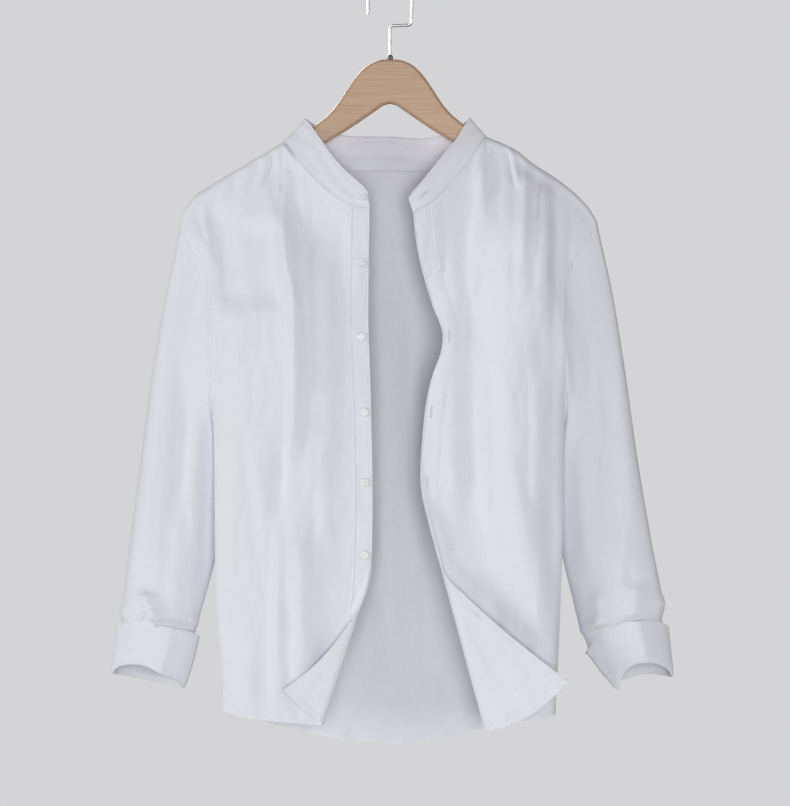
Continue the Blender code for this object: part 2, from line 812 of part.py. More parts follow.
def build_back(cloth):
    """The yoke over the shoulders, and the back below it."""
    across, down = np.meshgrid(back_columns(), PANEL_ROWS)
    points, normals = panel_grid(back_surface, across, down)
    split = int(np.argmin(abs(PANEL_ROWS - YOKE_SHARE)))
    for name, rows, gaps in (
        ("back_yoke", slice(0, split + 1), (SEAM_GAP, SEAM_GAP / 2)),
        ("back_panel", slice(split, None), (SEAM_GAP / 2, 0)),
    ):
        flat = inset(points[rows], rows=gaps, columns=(SEAM_GAP, SEAM_GAP))
        add_wall(name, flat, normals[rows], CLOTH, cloth)


def band_surface(at, rise):
    """The middle of the collar band, from its seam (rise 0) to its top edge (rise 1)."""
    rows = read(COLLAR, "at", at)
    return stacked(
        rows["x"] + (rows["top_x"] - rows["x"]) * rise,
        rows["y"] + (rows["top_y"] - rows["y"]) * rise,
        rows["z"] + (rows["top_z"] - rows["z"]) * rise,
    )


def collar_places(shares):
    """The places on the collar seam of shares of the back's width."""
    neck = read(COLLAR, "at", np.linspace(RIGHT_NECK_AT, LEFT_NECK_AT, 81))
    right_x = RIGHT["side"]["x"][0]
    neck_share = (neck["x"] - right_x) / (LEFT["side"]["x"][0] - right_x)
    return np.interp(shares, neck_share, neck["at"])


def build_collar(cloth):
    """The band, with a station at each column of the panels that it is sewn to."""
    shares = back_columns()
    shares = shares[(shares >= BACK_TOP["necks"][0]) & (shares <= BACK_TOP["necks"][1])]
    behind = collar_places(shares)
    stations = np.concatenate([stations_on_collar(RIGHT), behind, stations_on_collar(LEFT)])
    at, rise = np.meshgrid(np.unique(np.round(stations, 6)), np.linspace(0, 1, BAND_ROWS))
    points, normals = with_normals(band_surface, at, rise)
    from_shoulder = np.minimum(abs(at[0] - RIGHT_NECK_AT), abs(at[0] - LEFT_NECK_AT))
    gap = BAND_GAP + SHOULDER_GAP * (1 - ease(from_shoulder / SHOULDER_GAP_REACH))
    flat = inset(points, rows=(gap[:, None], 0))
    add_wall("collar_band", flat, normals, BAND_CLOTH, cloth)


def build_arms(cloth):
    """Both sleeves, each with its cuff turned back over its end."""
    holes = PANEL_ROWS[PANEL_ROWS <= UNDERARM_SHARE + 1e-6]
    front_angles = np.arccos(1 - 2 * holes / UNDERARM_SHARE)
    angles = np.concatenate([front_angles, (2 * math.pi - front_angles)[-2:0:-1]])
    for name, arm, side, back_across in (
        ("right", RIGHT_ARM, RIGHT, 0.0),
        ("left", LEFT_ARM, LEFT, 1.0),
    ):

        def surface(angle, at):
            return arm_surface(arm, side, back_across, angle, at)

        outwards = -1 if name == "right" else 1
        angle, at = np.meshgrid(angles, ARM_ROWS)
        points, normals = with_normals(surface, angle, at)
        flat = inset(points, rows=(ARMHOLE_GAP, SEAM_GAP / 2))
        add_wall(f"sleeve_{name}", flat, normals * outwards, CLOTH, cloth, closed=True)
        angle, at = np.meshgrid(angles, CUFF_SECTION["at"])
        points, normals = with_normals(surface, angle, at)
        points = points + normals * outwards * CUFF_SECTION["out"][:, None, None]
        flat = inset(points, rows=(0, SEAM_GAP / 2))
        facing = grid_normals(points, closed=True) * outwards
        add_wall(f"cuff_{name}", flat, facing, CLOTH, cloth, closed=True)


def add_disc(name, centre, facing, profile, finish):
    """A turned piece: its profile is radius and height from the centre, closed on the axis."""
    facing = unit(np.asarray(facing, float))
    aside = unit(np.cross(facing, (0, 0, 1)))
    upright = np.cross(facing, aside)
    turns = np.arange(BUTTON_SIDES) * 2 * math.pi / BUTTON_SIDES
    ring = np.outer(np.cos(turns), aside) + np.outer(np.sin(turns), upright)
    rings = [centre + ring * radius + facing * height for radius, height in profile]
    ends = [centre + facing * profile[0][1], centre + facing * profile[-1][1]]
    vertices = np.concatenate(rings + [np.array(ends)]) * MM
    faces = []
    for level in range(len(profile) - 1):
        for turn in range(BUTTON_SIDES):
            beside = (turn + 1) % BUTTON_SIDES
            low = level * BUTTON_SIDES
            high = low + BUTTON_SIDES
            faces.append((low + turn, low + beside, high + beside, high + turn))
    last = (len(profile) - 1) * BUTTON_SIDES
    for turn in range(BUTTON_SIDES):
        beside = (turn + 1) % BUTTON_SIDES
        faces.append((beside, turn, len(vertices) - 2))
        faces.append((last + turn, last + beside, len(vertices) - 1))
    mesh = bpy.data.meshes.new(name)
    mesh.from_pydata(vertices.tolist(), [], faces)
    made = add_object(name, mesh, finish)
    mesh.shade_smooth()
    mesh.set_sharp_from_angle(angle=math.radians(40))
    return made


def button_profile():
    """A flat back, a rounded rim and a slightly sunk face."""
    return (
        (BUTTON_RADIUS * 0.8, 0),
        (BUTTON_RADIUS, BUTTON_THICK * 0.4),
        (BUTTON_RADIUS * 0.95, BUTTON_THICK * 0.85),
        (BUTTON_RADIUS * 0.82, BUTTON_THICK),
        (BUTTON_RADIUS * 0.62, BUTTON_THICK * 0.75),
    )


def build_buttons(finish):
    """The collar's button, and those down the strip."""
    rise = CLOTH / 2 + SEAM_GAP + STRIP_CLOTH + BUTTON_SHANK
    places = []
    at = np.full((1, 1), COLLAR_BUTTON_AT)
    points, normals = with_normals(band_surface, at, np.full((1, 1), COLLAR_BUTTON_RISE))
    places.append((points[0, 0], -normals[0, 0], BAND_CLOTH / 2 + BUTTON_SHANK))
    for height in PLACKET_BUTTONS["z"]:
        share = share_at_height(height)
        across = np.full((1, 1), 1 - BUTTON_FROM_EDGE / (FULL_PLACE - section_start(share)))
        points, normals = with_normals(
            lambda a, d: front_surface(RIGHT, a, d), across, np.full((1, 1), share)
        )
        places.append((points[0, 0], -normals[0, 0], rise))
    for number, (point, facing, stand) in enumerate(places, start=1):
        add_disc(f"button_{number}", point + facing * stand, facing, button_profile(), finish)


def share_at_height(z):
    """How far down the right front a button at this height lies."""
    shares = np.linspace(0, 1, 401)
    heights = front_surface(RIGHT, np.full(401, 0.96), shares)[:, 2]
    order = np.argsort(heights)
    return float(np.interp(z, heights[order], shares[order]))


def smooth_outline(rows):
    """A table's x and z along a smooth curve through its points."""
    points = np.stack([rows["x"], rows["z"]], axis=1)
    steps = np.linalg.norm(np.diff(points, axis=0), axis=1)
    lengths = np.concatenate([[0], np.cumsum(steps)])
    measured = table("length x z", *zip(lengths, rows["x"], rows["z"]))
    where = np.sort(np.concatenate([lengths, (lengths[1:] + lengths[:-1]) / 2]))
    found = read(measured, "length", where)
    return np.stack([found["x"], found["z"]], axis=1)


def build_hanger(finish):
    """The flat shaped wood, with its edges rounded."""
    under = np.stack([WOOD_UNDER["x"], WOOD_UNDER["z"]], axis=1)
    half = np.concatenate([smooth_outline(WOOD_TOP), under])
    outline = np.concatenate([half, half[-2:0:-1] * (-1, 1)])
    count = len(outline)
    near = stacked(outline[:, 0], -WOOD_THICK / 2, outline[:, 1])
    far = stacked(outline[:, 0], WOOD_THICK / 2, outline[:, 1])
    faces = [tuple(range(count - 1, -1, -1)), tuple(range(count, 2 * count))]
    for corner in range(count):
        beside = (corner + 1) % count
        faces.append((corner, beside, count + beside, count + corner))
    mesh = bpy.data.meshes.new("hanger_wood")
    mesh.from_pydata((np.concatenate([near, far]) * MM).tolist(), [], faces)
    made = add_object("hanger_wood", mesh, finish)
    bevel = made.modifiers.new("rounded edges", "BEVEL")
    bevel.width = WOOD_ROUND * MM
    bevel.segments = 2
    bevel.limit_method = "ANGLE"
    bevel.angle_limit = math.radians(60)
    mesh.shade_smooth()
    mesh.set_sharp_from_angle(angle=math.radians(50))


def bent_path(corners):
    """The points of a wire that turns each corner on an arc of that corner's radius."""
    places = np.stack([corners["x"], 0 * corners["x"], corners["z"]], axis=1)
    path = [places[0]]
    for index in range(1, len(places) - 1):
        before = unit(places[index - 1] - places[index])
        after = unit(places[index + 1] - places[index])
        half_turn = math.acos(float(np.clip(before @ after, -1, 1))) / 2
        reach = corners["radius"][index] / math.tan(half_turn)
        centre_way = unit(before + after)
        centre = places[index] + centre_way * corners["radius"][index] / math.sin(half_turn)
        first = places[index] + before * reach - centre
        last = places[index] + after * reach - centre
        for step in range(BEND_STEPS + 1):
            spoke = unit(first + (last - first) * step / BEND_STEPS)
            path.append(centre + spoke * corners["radius"][index])
    path.append(places[-1])
    return path


def build_hook(finish):
    """The bent wire, and the ferrule where it enters the wood."""
    curve = bpy.data.curves.new("hanger_hook", "CURVE")
    curve.dimensions = "3D"
    curve.bevel_depth = WIRE / 2 * MM
    curve.bevel_resolution = 3
    curve.use_fill_caps = True
    path = bent_path(HOOK_CORNERS)
    path[0] = path[0] + (0, 0, FERRULE_HEIGHT + SEAM_GAP)
    spline = curve.splines.new("POLY")
    spline.points.add(len(path) - 1)
    for point, place in zip(spline.points, path):
        point.co = (*(place * MM), 1)
    add_object("hanger_hook", curve, finish)
    base = np.array([0.0, 0.0, WOOD_TOP["z"][0] + SEAM_GAP])
    profile = (
        (FERRULE_RADIUS, 0),
        (FERRULE_RADIUS, FERRULE_HEIGHT * 0.6),
        (FERRULE_RADIUS * 0.7, FERRULE_HEIGHT),
    )
    add_disc("hook_ferrule", base, (0.0, 1e-4, 1.0), profile, finish)


for leftover in list(bpy.data.objects):
    bpy.data.objects.remove(leftover)

RIGHT["top"] = neck_columns(RIGHT)
LEFT["top"] = neck_columns(LEFT)
BACK_TOP = back_top()

LINEN = material("linen", (0.80, 0.80, 0.83), 0.9)
BUTTON = material("button", (0.83, 0.83, 0.84), 0.35)
WOOD = material("varnished_wood", (0.47, 0.27, 0.15), 0.4)
PLATED_WIRE = material("plated_wire", (0.62, 0.62, 0.63), 0.25, 1.0)

build_fronts(LINEN)
build_back(LINEN)
build_collar(LINEN)
build_arms(LINEN)
build_buttons(BUTTON)
build_hanger(WOOD)
build_hook(PLATED_WIRE)
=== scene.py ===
import math
from functools import partial

import bpy
import numpy as np
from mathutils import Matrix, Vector


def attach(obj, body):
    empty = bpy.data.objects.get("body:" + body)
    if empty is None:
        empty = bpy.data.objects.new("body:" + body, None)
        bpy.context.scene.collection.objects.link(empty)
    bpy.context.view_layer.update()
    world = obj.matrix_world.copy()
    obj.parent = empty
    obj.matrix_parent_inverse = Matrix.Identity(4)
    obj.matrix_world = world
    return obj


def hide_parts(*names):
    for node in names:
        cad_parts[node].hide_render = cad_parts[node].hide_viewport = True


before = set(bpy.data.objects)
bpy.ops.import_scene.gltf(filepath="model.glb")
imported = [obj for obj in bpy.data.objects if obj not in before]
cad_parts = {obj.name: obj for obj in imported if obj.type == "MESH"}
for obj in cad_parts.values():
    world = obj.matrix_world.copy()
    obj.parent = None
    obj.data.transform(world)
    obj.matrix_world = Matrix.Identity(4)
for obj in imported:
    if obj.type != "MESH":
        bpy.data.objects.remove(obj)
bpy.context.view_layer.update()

# The looks of a linen shirt with a band collar, its front open, on a wooden hanger.
# Metres, +Z up. The front faces -Y and the wearer's right side is at -X. The origin is where
# the hook's top bar rests on a rail. The tables are in millimetres.

MM = 0.001

# Cloth as it is sewn (mm): one layer of linen, two layers of it, and three at a hem
LAYER = 0.9
DOUBLE = 1.3
BAND_THICK = 1.7
HEM_WIDTH = 7.0
HEM_RISE = 0.5
SEAM_GAP = 0.1
STRIP_WIDTH = 22.0
STRIP_LIFT = 0.35
STRIP_SINKS = 0.95
FELLED_RISE = 0.6
CLOTH_STEP = 2.5

# How finely curves and edges are sampled
TOP_SAMPLES = 641
SEAM_SAMPLES = 241
WIDTH_SAMPLES = 481
HEIGHT_SAMPLES = 401
NUDGE = 1e-3

# How the cloth lies over the shoulders and hangs from them (mm)
RIDGE_RADIUS = 8.5
FRONT_RIDGE_REACH = 0.10
BACK_RIDGE_REACH = 0.07
SHOULDER_FALL = 150.0
UNDERARM_Z = -530.0
YOKE_Z = -300.0

# Shares of the way from a panel's top edge to its hem
UNDERARM_SHARE = 0.45
YOKE_SHARE = 0.11


def table(columns, *rows):
    """The rows as one array for each named column."""
    return dict(zip(columns.split(), np.array(rows, float).T))


def fold_table(*rows):
    """A table of folds: where each runs, how it bows, how far it slopes and how high it is."""
    return table("top_x top_z low_x low_z bow left right height", *rows)


# The front's level section, from its side seam round to its front edge. The place is
# measured along the cloth from the outermost point, and is less than 0 behind it.
FRONT_SECTION = table(
    "place inward depth",
    (-32, 22, -8), (-11, 6, 6), (0, 0, 16), (10, 4.5, 24), (28, 20, 31), (69, 60, 35.5),
    (240, 230, 39),
)
SEAM_PLACE = -32.0
ARMHOLE_PLACE = 22.0
SINKS_FROM = 0.24
FULL_PLACE = FRONT_SECTION["place"][-1]
FULL_INWARD = FRONT_SECTION["inward"][-1]

# The collar seam and the band's top edge, from the right front end round the back.
COLLAR = table(
    "at x y z top_x top_y top_z",
    (0, -23.5, -38, -254, -25.5, -36.5, -231),
    (0.06, -48.2, -36.5, -249.3, -38, -34, -220.5),
    (0.13, -74.1, -30.5, -231.7, -56, -28, -203.5),
    (0.19, -94.1, -23.5, -212.9, -70, -21, -186.5),
    (0.25, -110, -16, -194.5, -83, -13.5, -167.5),
    (0.29, -120.5, -9, -180.5, -92, -7, -154.5),
    (0.33, -126.5, 0, -172.5, -99.5, 0, -144.5),
    (0.37, -119.5, 9.5, -182, -96, 9, -146.5),
    (0.41, -98, 18, -196, -80, 17.5, -155),
    (0.46, -62, 25, -204, -53, 23.5, -162),
    (0.52, 0, 28, -205, 0, 27, -163),
    (0.58, 50, 25, -203, 45, 24, -165),
    (0.62, 85, 18, -192, 74, 17.5, -158),
    (0.66, 106, 9.5, -176.5, 90, 9, -147),
    (0.70, 113.5, 0, -166, 94, 0, -143.5),
    (0.74, 108, -9, -175, 88, -7, -153),
    (0.78, 100, -16, -187.5, 79, -13.5, -168),
    (0.84, 84.7, -23.5, -207, 66, -21, -184.5),
    (0.89, 64.7, -30.5, -230.5, 51, -28, -203.5),
    (0.95, 45, -36.5, -248, 35.3, -34, -223.4),
    (1, 27, -38, -258.7, 21.5, -36.5, -238),
)
RIGHT_NECK_AT = 0.33
LEFT_NECK_AT = 0.70

# Each side of the shirt. The shoulder runs from the neck out to the armhole, the side from
# the armhole's top to the hem, and the edge from the collar to the corner at the hem. The
# corner turns outwards along a slanting line, and lifts off the front as it goes on.
RIGHT = {
    "shoulder": table(
        "x z",
        (-126.5, -172.5), (-145.8, -184), (-176.4, -202), (-209.3, -222), (-235.2, -241),
        (-243, -253), (-249.3, -277.5),
    ),
    "side": table(
        "z x",
        (-277.5, -249.3), (-295, -238.7), (-313, -228), (-332, -220), (-372, -215),
        (-434, -210.5), (-530, -207), (-642, -205.8), (-736, -203.4), (-789, -198.5),
        (-842, -198.5),
    ),
    "edge": table(
        "z x",
        (-254, -23.5), (-395, -24.5), (-480, -21.8), (-689, -22.3), (-740, -26), (-803, -22.7),
        (-856, -8),
    ),
    "hem": table(
        "share z",
        (0, -842), (0.2, -851), (0.42, -855), (0.62, -857), (0.8, -857), (1, -852),
    ),
    "corner": {"x": -44.7, "z": -752.6, "to_x": -76.4, "to_z": -850.2, "radius": 7.0, "lifts": 0.0},
    "neck": (0.0, RIGHT_NECK_AT),
}
LEFT = {
    "shoulder": table(
        "x z",
        (113.5, -166), (135.2, -175), (150.5, -183), (166, -195.5), (199.9, -218),
        (225.8, -240), (237.6, -254), (244.6, -268),
    ),
    "side": table(
        "z x",
        (-268, 244.6), (-289, 236.4), (-313, 218.7), (-332, 210.5), (-383, 206), (-475, 205.8),
        (-530, 204.6), (-630, 203.4), (-701, 201), (-786, 197.6), (-848, 194),
    ),
    "edge": table(
        "z x",
        (-258.7, 27), (-300, 31.8), (-327, 37.6), (-362, 48.2), (-403, 61.5), (-420, 59.5),
        (-460, 46.5), (-524, 37.6), (-600, 37.4), (-640, 45), (-668, 52), (-715, 42),
        (-770, 24.5), (-866, -13),
    ),
    "hem": table(
        "share z",
        (0, -848), (0.21, -853), (0.41, -862), (0.55, -871), (0.7, -875), (0.85, -871),
        (1, -863),
    ),
    "corner": {"x": 62.3, "z": -683.3, "to_x": 102.3, "to_z": -831.4, "radius": 9.0, "lifts": 0.1},
    "neck": (1.0, LEFT_NECK_AT),
}

# A fold's ends are eased over this share of its length, and a flat slope's crest starts here.
FOLD_END = 0.25
CREST_FROM = 0.75

# The large folds. A height is how far the cloth stands out, and is less than 0 in a trough.
# The bow moves the middle of the fold sideways. Left and right are how far it slopes each way.
FRONT_FOLDS = fold_table(
    (-212, -232, -176, -390, 0, 20, 18, -7),
    (-162, -290, -150, -640, 0, 32, 22, 6.5),
    (-143, -196, -114, -600, 14, 20, 12, 6),
    (-106, -430, -132, -650, 0, 16, 20, -5),
    (-76, -236, -74, -720, 3, 18, 12, 3),
    (-160, -600, -165, -850, 0, 20, 14, 4.5),
    (-110, -560, -104, -840, 0, 20, 14, 4),
    (56, -330, 62, -640, 0, 12, 14, 2.5),
    (176, -205, 182, -420, 0, 11, 9, 3.5),
    (188, -420, 186, -840, 0, 12, 10, -3.5),
    (160, -194, 154, -320, 0, 10, 8, 3.5),
)
# Flat slopes between a sharp foot on each side and a rounded crest.
FRONT_PLANES = fold_table(
    (-138, -205, -122, -580, 19, 50, 15, 5),
    (143, -170, 147, -670, 0, 54, 110, 13),
    (150, -560, 206, -830, -2, 56, 30, 12),
    (66, -262, 68, -650, 4, 20, 24, 5.5),
)
BACK_FOLDS = fold_table(
    (-150, -330, -142, -850, 6, 20, 20, 7),
    (-104, -300, -98, -860, -5, 17, 17, -7),
    (-58, -310, -50, -880, 4, 20, 20, 8),
    (-4, -330, 4, -885, -4, 18, 18, -6),
    (52, -310, 46, -880, 5, 20, 20, 7.5),
    (100, -300, 104, -860, -4, 18, 18, -7),
    (148, -340, 140, -850, 5, 19, 19, 7),
)

# The back's edge along each armhole: how far out and how deep, by share of the way down.
BACK_ARMHOLE = table(
    "share width depth",
    (0, 1, 27), (0.08, 0.93, 28), (0.20, 0.87, 30), (0.30, 0.83, 30),
    (0.38, 0.79, 26), (0.43, 0.755, 18), (0.45, 0.745, 8),
)
# The middle of the back, and its hem by share of the width.
BACK_DEPTH = table("share depth", (0, 28), (0.11, 33), (0.45, 38), (1, 36))
BACK_HEM = table(
    "share z",
    (0, -842), (0.06, -856), (0.23, -875), (0.38, -885.5), (0.53, -888), (0.65, -885.5),
    (0.74, -878.5), (0.83, -869), (0.92, -859.5), (1, -848),
)

# The arms, from the armhole down to the cuff's lowest turn. Front and back are the half
# depths, the lean sets the inner line back behind the body, and the arch lifts the front rim.
ARM_SECTIONS = table(
    "at front back mid lean arch",
    (0, 23, 23, 2, 6, 0), (0.16, 26, 16, 3, 20, 0), (0.31, 28, 19, 6, 21, 0),
    (0.5, 29, 23, 9, 15, 0), (0.72, 29, 28, 10, 6, 2), (0.86, 28, 28, 9, 0, 8),
    (0.9, 28, 28, 8, 0, 11), (1, 27, 27, 6, 0, 20), (1.08, 27, 27, 4.5, 0, 20),
)


def arm_table(*lines):
    """An arm's sections with its own outer and inner lines, as they are seen from in front."""
    return {**ARM_SECTIONS, **table("out_x out_z in_x in_z", *lines)}


RIGHT_ARM = arm_table(
    (-250, -279, -184, -530),
    (-267.5, -363, -189, -568),
    (-281.5, -442, -195, -608),
    (-295, -541, -205, -652),
    (-310, -657, -219, -707),
    (-319.5, -739, -230, -749),
    (-320.5, -756, -233, -764),
    (-326.5, -808, -247, -816),
    (-331, -850, -258, -858),
)
LEFT_ARM = arm_table(
    (245.3, -270, 182, -530),
    (264, -356, 187, -568),
    (278, -440, 194, -610),
    (292, -538, 204, -656),
    (310, -645, 217, -711),
    (325, -730, 229, -757),
    (325.5, -750, 234, -767),
    (331, -803, 252, -815),
    (335.4, -845.4, 266.4, -853.4),
)
ARM_FOLDS = fold_table(
    (-262, -330, -296, -690, -4, 12, 12, 4),
    (-243, -400, -262, -720, 0, 11, 11, -4.5),
    (-226, -480, -240, -730, 4, 10, 10, 4),
    (-288, -700, -276, -742, 0, 11, 11, 5),
    (256, -330, 300, -650, 4, 13, 13, 4),
    (236, -380, 268, -700, 0, 12, 12, -4.5),
    (223, -520, 236, -700, -3, 10, 10, 4),
    (290, -690, 286, -738, 0, 13, 13, 5),
    (244, -700, 248, -752, 0, 10, 10, 5),
)
ARMHOLE_SHARE = 0.25
UNDERARM_CLEAR = 3.0

# How far the cuff's free edge lies down the arm from a level turn, and how far its lowest turn
# hangs, on its front and behind, by share of the way from the arm's outer line.
CUFF_LIES = {
    "right": {
        "edge": table("along down", (0, 0), (0.3, -0.004), (0.6, 0.002), (1, 0.004)),
        "edge_behind": table("along down", (0, 0), (0.5, 0.002), (1, 0.004)),
        "turn": table("along down", (0, -0.006), (0.45, 0), (0.8, 0.012), (1, 0.008)),
        "turn_behind": table("along down", (0, -0.006), (0.4, 0.004), (1, 0.008)),
        "bend": 0.72,
    },
    "left": {
        "edge": table(
            "along down", (0, 0.018), (0.33, -0.004), (0.62, -0.006), (0.8, 0.016), (1, 0.046)
        ),
        "edge_behind": table("along down", (0, 0.018), (0.3, 0), (0.8, 0.006), (1, 0.046)),
        "turn": table(
            "along down",
            (0, 0.01), (0.36, 0), (0.55, 0.002), (0.66, 0.01), (0.75, 0.023),
            (0.89, 0.034), (0.96, -0.019), (1, -0.068),
        ),
        "turn_behind": table(
            "along down", (0, 0.01), (0.3, 0), (0.75, 0), (0.92, -0.020), (1, -0.068)
        ),
        "bend": 0.37,
    },
}

# The turned-back cuff's section: where it lies along the arm, and how far out of it.
CUFF_SECTION = table(
    "at out",
    (0.878, 5.2), (0.905, 5.4), (0.935, 5.4), (0.965, 5.2), (0.985, 4.6), (0.996, 2.6),
    (0.985, 0.6), (0.968, 0),
)
SLEEVE_END = 0.968
# How sharp the pressed bend down the cuff's front is, and how far its sides go flat.
CUFF_CREASE = 14.0
CUFF_FLATTENS = 14.85
# Tucks round the sleeve just above the cuff: where along the arm, and how high.
TUCKS = ((0.838, 2.6), (0.875, -3.0))
TUCK_WIDE = 0.016

# Buttons: the height of each on the right front's strip, and the collar's own.
PLACKET_BUTTONS = table("z", (-317.5,), (-404,), (-491.6,), (-573.9,), (-658.6,))
BUTTON_FROM_EDGE = 11.0
COLLAR_BUTTON_AT = 0.028
COLLAR_BUTTON_RISE = 0.5

# Creases that are too small for the solids: where they run, how wide and how high they are.
FRONT_CREASES = fold_table(
    (-122, -174, -116, -216, 0, 4.6, 4.6, -1.5),
    (-130, -178, -131, -246, 1, 4.4, 4, 2.2),
    (-138, -180, -149, -228, 2, 3.2, 3.6, -2.2),
    (-145, -184, -163, -252, 2, 4.6, 3.8, 1.9),
    (-152, -190, -167, -230, 0, 3.4, 3.4, -1.5),
    (-166, -196, -180, -262, 0, 5, 5, 1.4),
    (-182, -204, -186, -232, 0, 3.8, 3.8, -1.5),
    (-106, -205, -98, -290, 0, 6, 6, 1.6),
    (-150, -205, -102, -395, 0, 8, 5, 2),
    (-57, -240, -57, -400, 0, 9, 6, -1.6),
    (-226, -236, -214, -330, 5, 6, 6, 2),
    (-228, -262, -212, -302, 0, 2.4, 2.4, -1.2),
    (-176, -480, -150, -700, 0, 9, 9, -2),
    (-120, -640, -118, -840, 0, 8, 8, -2),
    (-186, -620, -186, -842, 0, 6, 6, 2),
    (-200, -360, -194, -560, 0, 7, 7, 1.6),
    (-84, -470, -92, -700, 0, 7, 7, -1.6),
    (136, -174, 146, -226, 0, 5, 2, -3.2),
    (141.5, -176, 152, -232, 0, 2.2, 4, 2.6),
    (120, -172, 94, -380, -6, 6, 7, 2.4),
    (130, -182, 124, -280, 0, 5, 6, -2.2),
    (176, -207, 170, -272, 0, 4.5, 4.5, -2.4),
    (188, -208, 182, -362, 0, 6, 4, 2.2),
    (150, -196, 140, -380, 0, 6, 6, -1.6),
    (216, -236, 208, -330, 0, 5, 5, -2),
    (203, -330, 203, -620, 0, 4, 4, 1.4),
    (168, -420, 170, -640, 0, 7, 7, 1.4),
    (118, -420, 122, -640, 0, 6, 6, -1.2),
    (190, -330, 192, -520, 0, 6, 6, -1.6),
    (120, -700, 126, -850, 0, 7, 7, -1.6),
)
# Flat slopes as the large ones have, but too small for the solids.
FRONT_FACETS = fold_table(
    (139, -180, 143, -670, 0, 46, 60, 5),
    (146, -560, 202, -830, -2, 46, 26, 4.5),
    (72, -262, 76, -640, 4, 12, 13, 2.5),
    (-124, -215, -118, -600, 8, 34, 16, 2),
    (-176, -300, -178, -600, 0, 26, 26, 3.5),
    (-84, -300, -90, -620, 0, 18, 22, 2.5),
    (160, -188, 154, -330, 0, 14, 10, 3.6),
    (184, -205, 178, -370, 0, 12, 12, 3.2),
    (-140, -258, -132, -380, 0, 66, 14, -11),
    (-112, -300, -122, -640, 4, 10, 60, 8),
    (-128, -600, -132, -850, 0, 12, 60, 8),
    (176, -196, 170, -420, 0, 60, 22, 7),
    (174, -420, 176, -640, 0, 14, 14, 2.2),
    (-136, -560, -140, -820, 0, 22, 16, 3),
    (-96, -600, -100, -830, 0, 18, 18, 2.5),
)
ARM_CREASES = fold_table(
    (-302, -741, -281, -722, 0, 3, 3, 3),
    (-281, -722, -274, -744, 0, 3, 3, 3.2),
    (-279, -726, -276.5, -744, 0, 1.6, 1.6, -3),
    (-291, -704, -286, -722, 0, 6, 6, 3.4),
    (-288, -650, -290, -708, 0, 13, 13, -3),
    (-255, -600, -250, -748, 0, 11, 11, 3.4),
    (-231, -668, -235, -704, 0, 2.4, 2.4, 2),
    (-236, -672, -238, -700, 0, 2.2, 2.2, -1.6),
    (-240, -470, -250, -600, 3, 6, 6, -2.4),
    (-270, -300, -282, -470, -3, 6, 6, 2.4),
    (-252, -270, -262, -400, 0, 5, 5, -2),
    (-300, -560, -306, -690, 0, 6, 6, 2),
    (247, -268, 234, -318, 0, 4, 4, 3),
    (254, -276, 246, -350, 0, 4.5, 4.5, -2.4),
    (264, -330, 276, -480, 3, 7, 7, 2.4),
    (286, -470, 302, -640, 0, 7, 7, -2.4),
    (250, -520, 262, -690, 0, 6, 6, 2.4),
    (310, -560, 318, -712, 0, 6, 6, 2.2),
    (276, -620, 270, -724, 0, 8, 8, 2.6),
)
BACK_CREASES = fold_table(
    (-182, -300, -176, -500, 0, 8, 8, 2.4),
    (-166, -290, -168, -470, 0, 7, 7, -2.4),
    (-124, -420, -118, -700, 0, 9, 9, 2.2),
    (-30, -360, -28, -640, 3, 8, 8, -2.2),
    (24, -340, 20, -600, 0, 7, 7, 2),
    (76, -420, 80, -740, 0, 9, 9, -2.2),
    (128, -320, 124, -560, 0, 8, 8, -2.4),
    (176, -290, 172, -480, 0, 8, 8, 2.4),
)
# Linen's own unevenness, in waves of two sizes: how high, how squashed downwards, how long.
FRONT_UNEVEN = table("rise squash size seed", (0.6, 0.4, 34, 3), (0.28, 0.5, 14, 4))
BACK_UNEVEN = table("rise squash size seed", (0.6, 0.4, 36, 5), (0.22, 0.6, 14, 6))
ARM_UNEVEN = table("rise squash size seed", (0.5, 0.4, 30, 7))
BAND_UNEVEN = table("rise squash size seed", (0.25, 34, 26, 8))

# Soft ripples where a seam holds the cloth tight.
PUCKER_PITCH = 9.0
PUCKER_RISE = 0.11
PUCKER_REACH = 7.0

# Sewing: one stitch, the thread, and how far from an edge its line runs (mm)
STITCH_LONG = 2.6
STITCH_PITCH = 3.2
THREAD = 0.28
STITCH_DENT = 0.6
STITCH_SINKS = 0.3
EDGE_STITCH = 1.6
FELLED_STITCH = 7.0
ARMHOLE_STITCH = 9.5
STRIP_STITCH = 2.2
TURNED_STITCH = 6.0
BOX_LOW = -335.0
BOX_SLANT = 0.35
BOX_SMALL = 19.0
BUTTONHOLE_LONG = 14.0
BUTTONHOLE_WIDE = 2.6

# Buttons, turned from a blank with a raised rim and four holes (mm)
BUTTON_RADIUS = 5.5
BUTTON_FACE = 1.488
BUTTON_RIM = 0.42
BUTTON_RINGS = 26
BUTTON_SPOKES = 48
BUTTON_LIP = 0.315
HOLE_PLACE = 1.35
HOLE_RADIUS = 0.62
HOLE_DEEP = 0.8


def read(rows, key, where):
    """Every column of a table on a smooth curve over its key column, at the given places."""
    order = np.argsort(rows[key])
    knots = rows[key][order]
    where = np.clip(where, knots[0], knots[-1])
    low = np.clip(np.searchsorted(knots, where, side="right") - 1, 0, len(knots) - 2)
    span = knots[low + 1] - knots[low]
    t = (where - knots[low]) / span
    found = {}
    for name, column in rows.items():
        values = column[order]
        slopes = np.gradient(values, knots)
        found[name] = (
            (2 * t**3 - 3 * t**2 + 1) * values[low]
            + (t**3 - 2 * t**2 + t) * span * slopes[low]
            + (3 * t**2 - 2 * t**3) * values[low + 1]
            + (t**3 - t**2) * span * slopes[low + 1]
        )
    return found


def ease(amount):
    """0 to 1, soft at both ends."""
    amount = np.clip(amount, 0, 1)
    return amount * amount * (3 - 2 * amount)


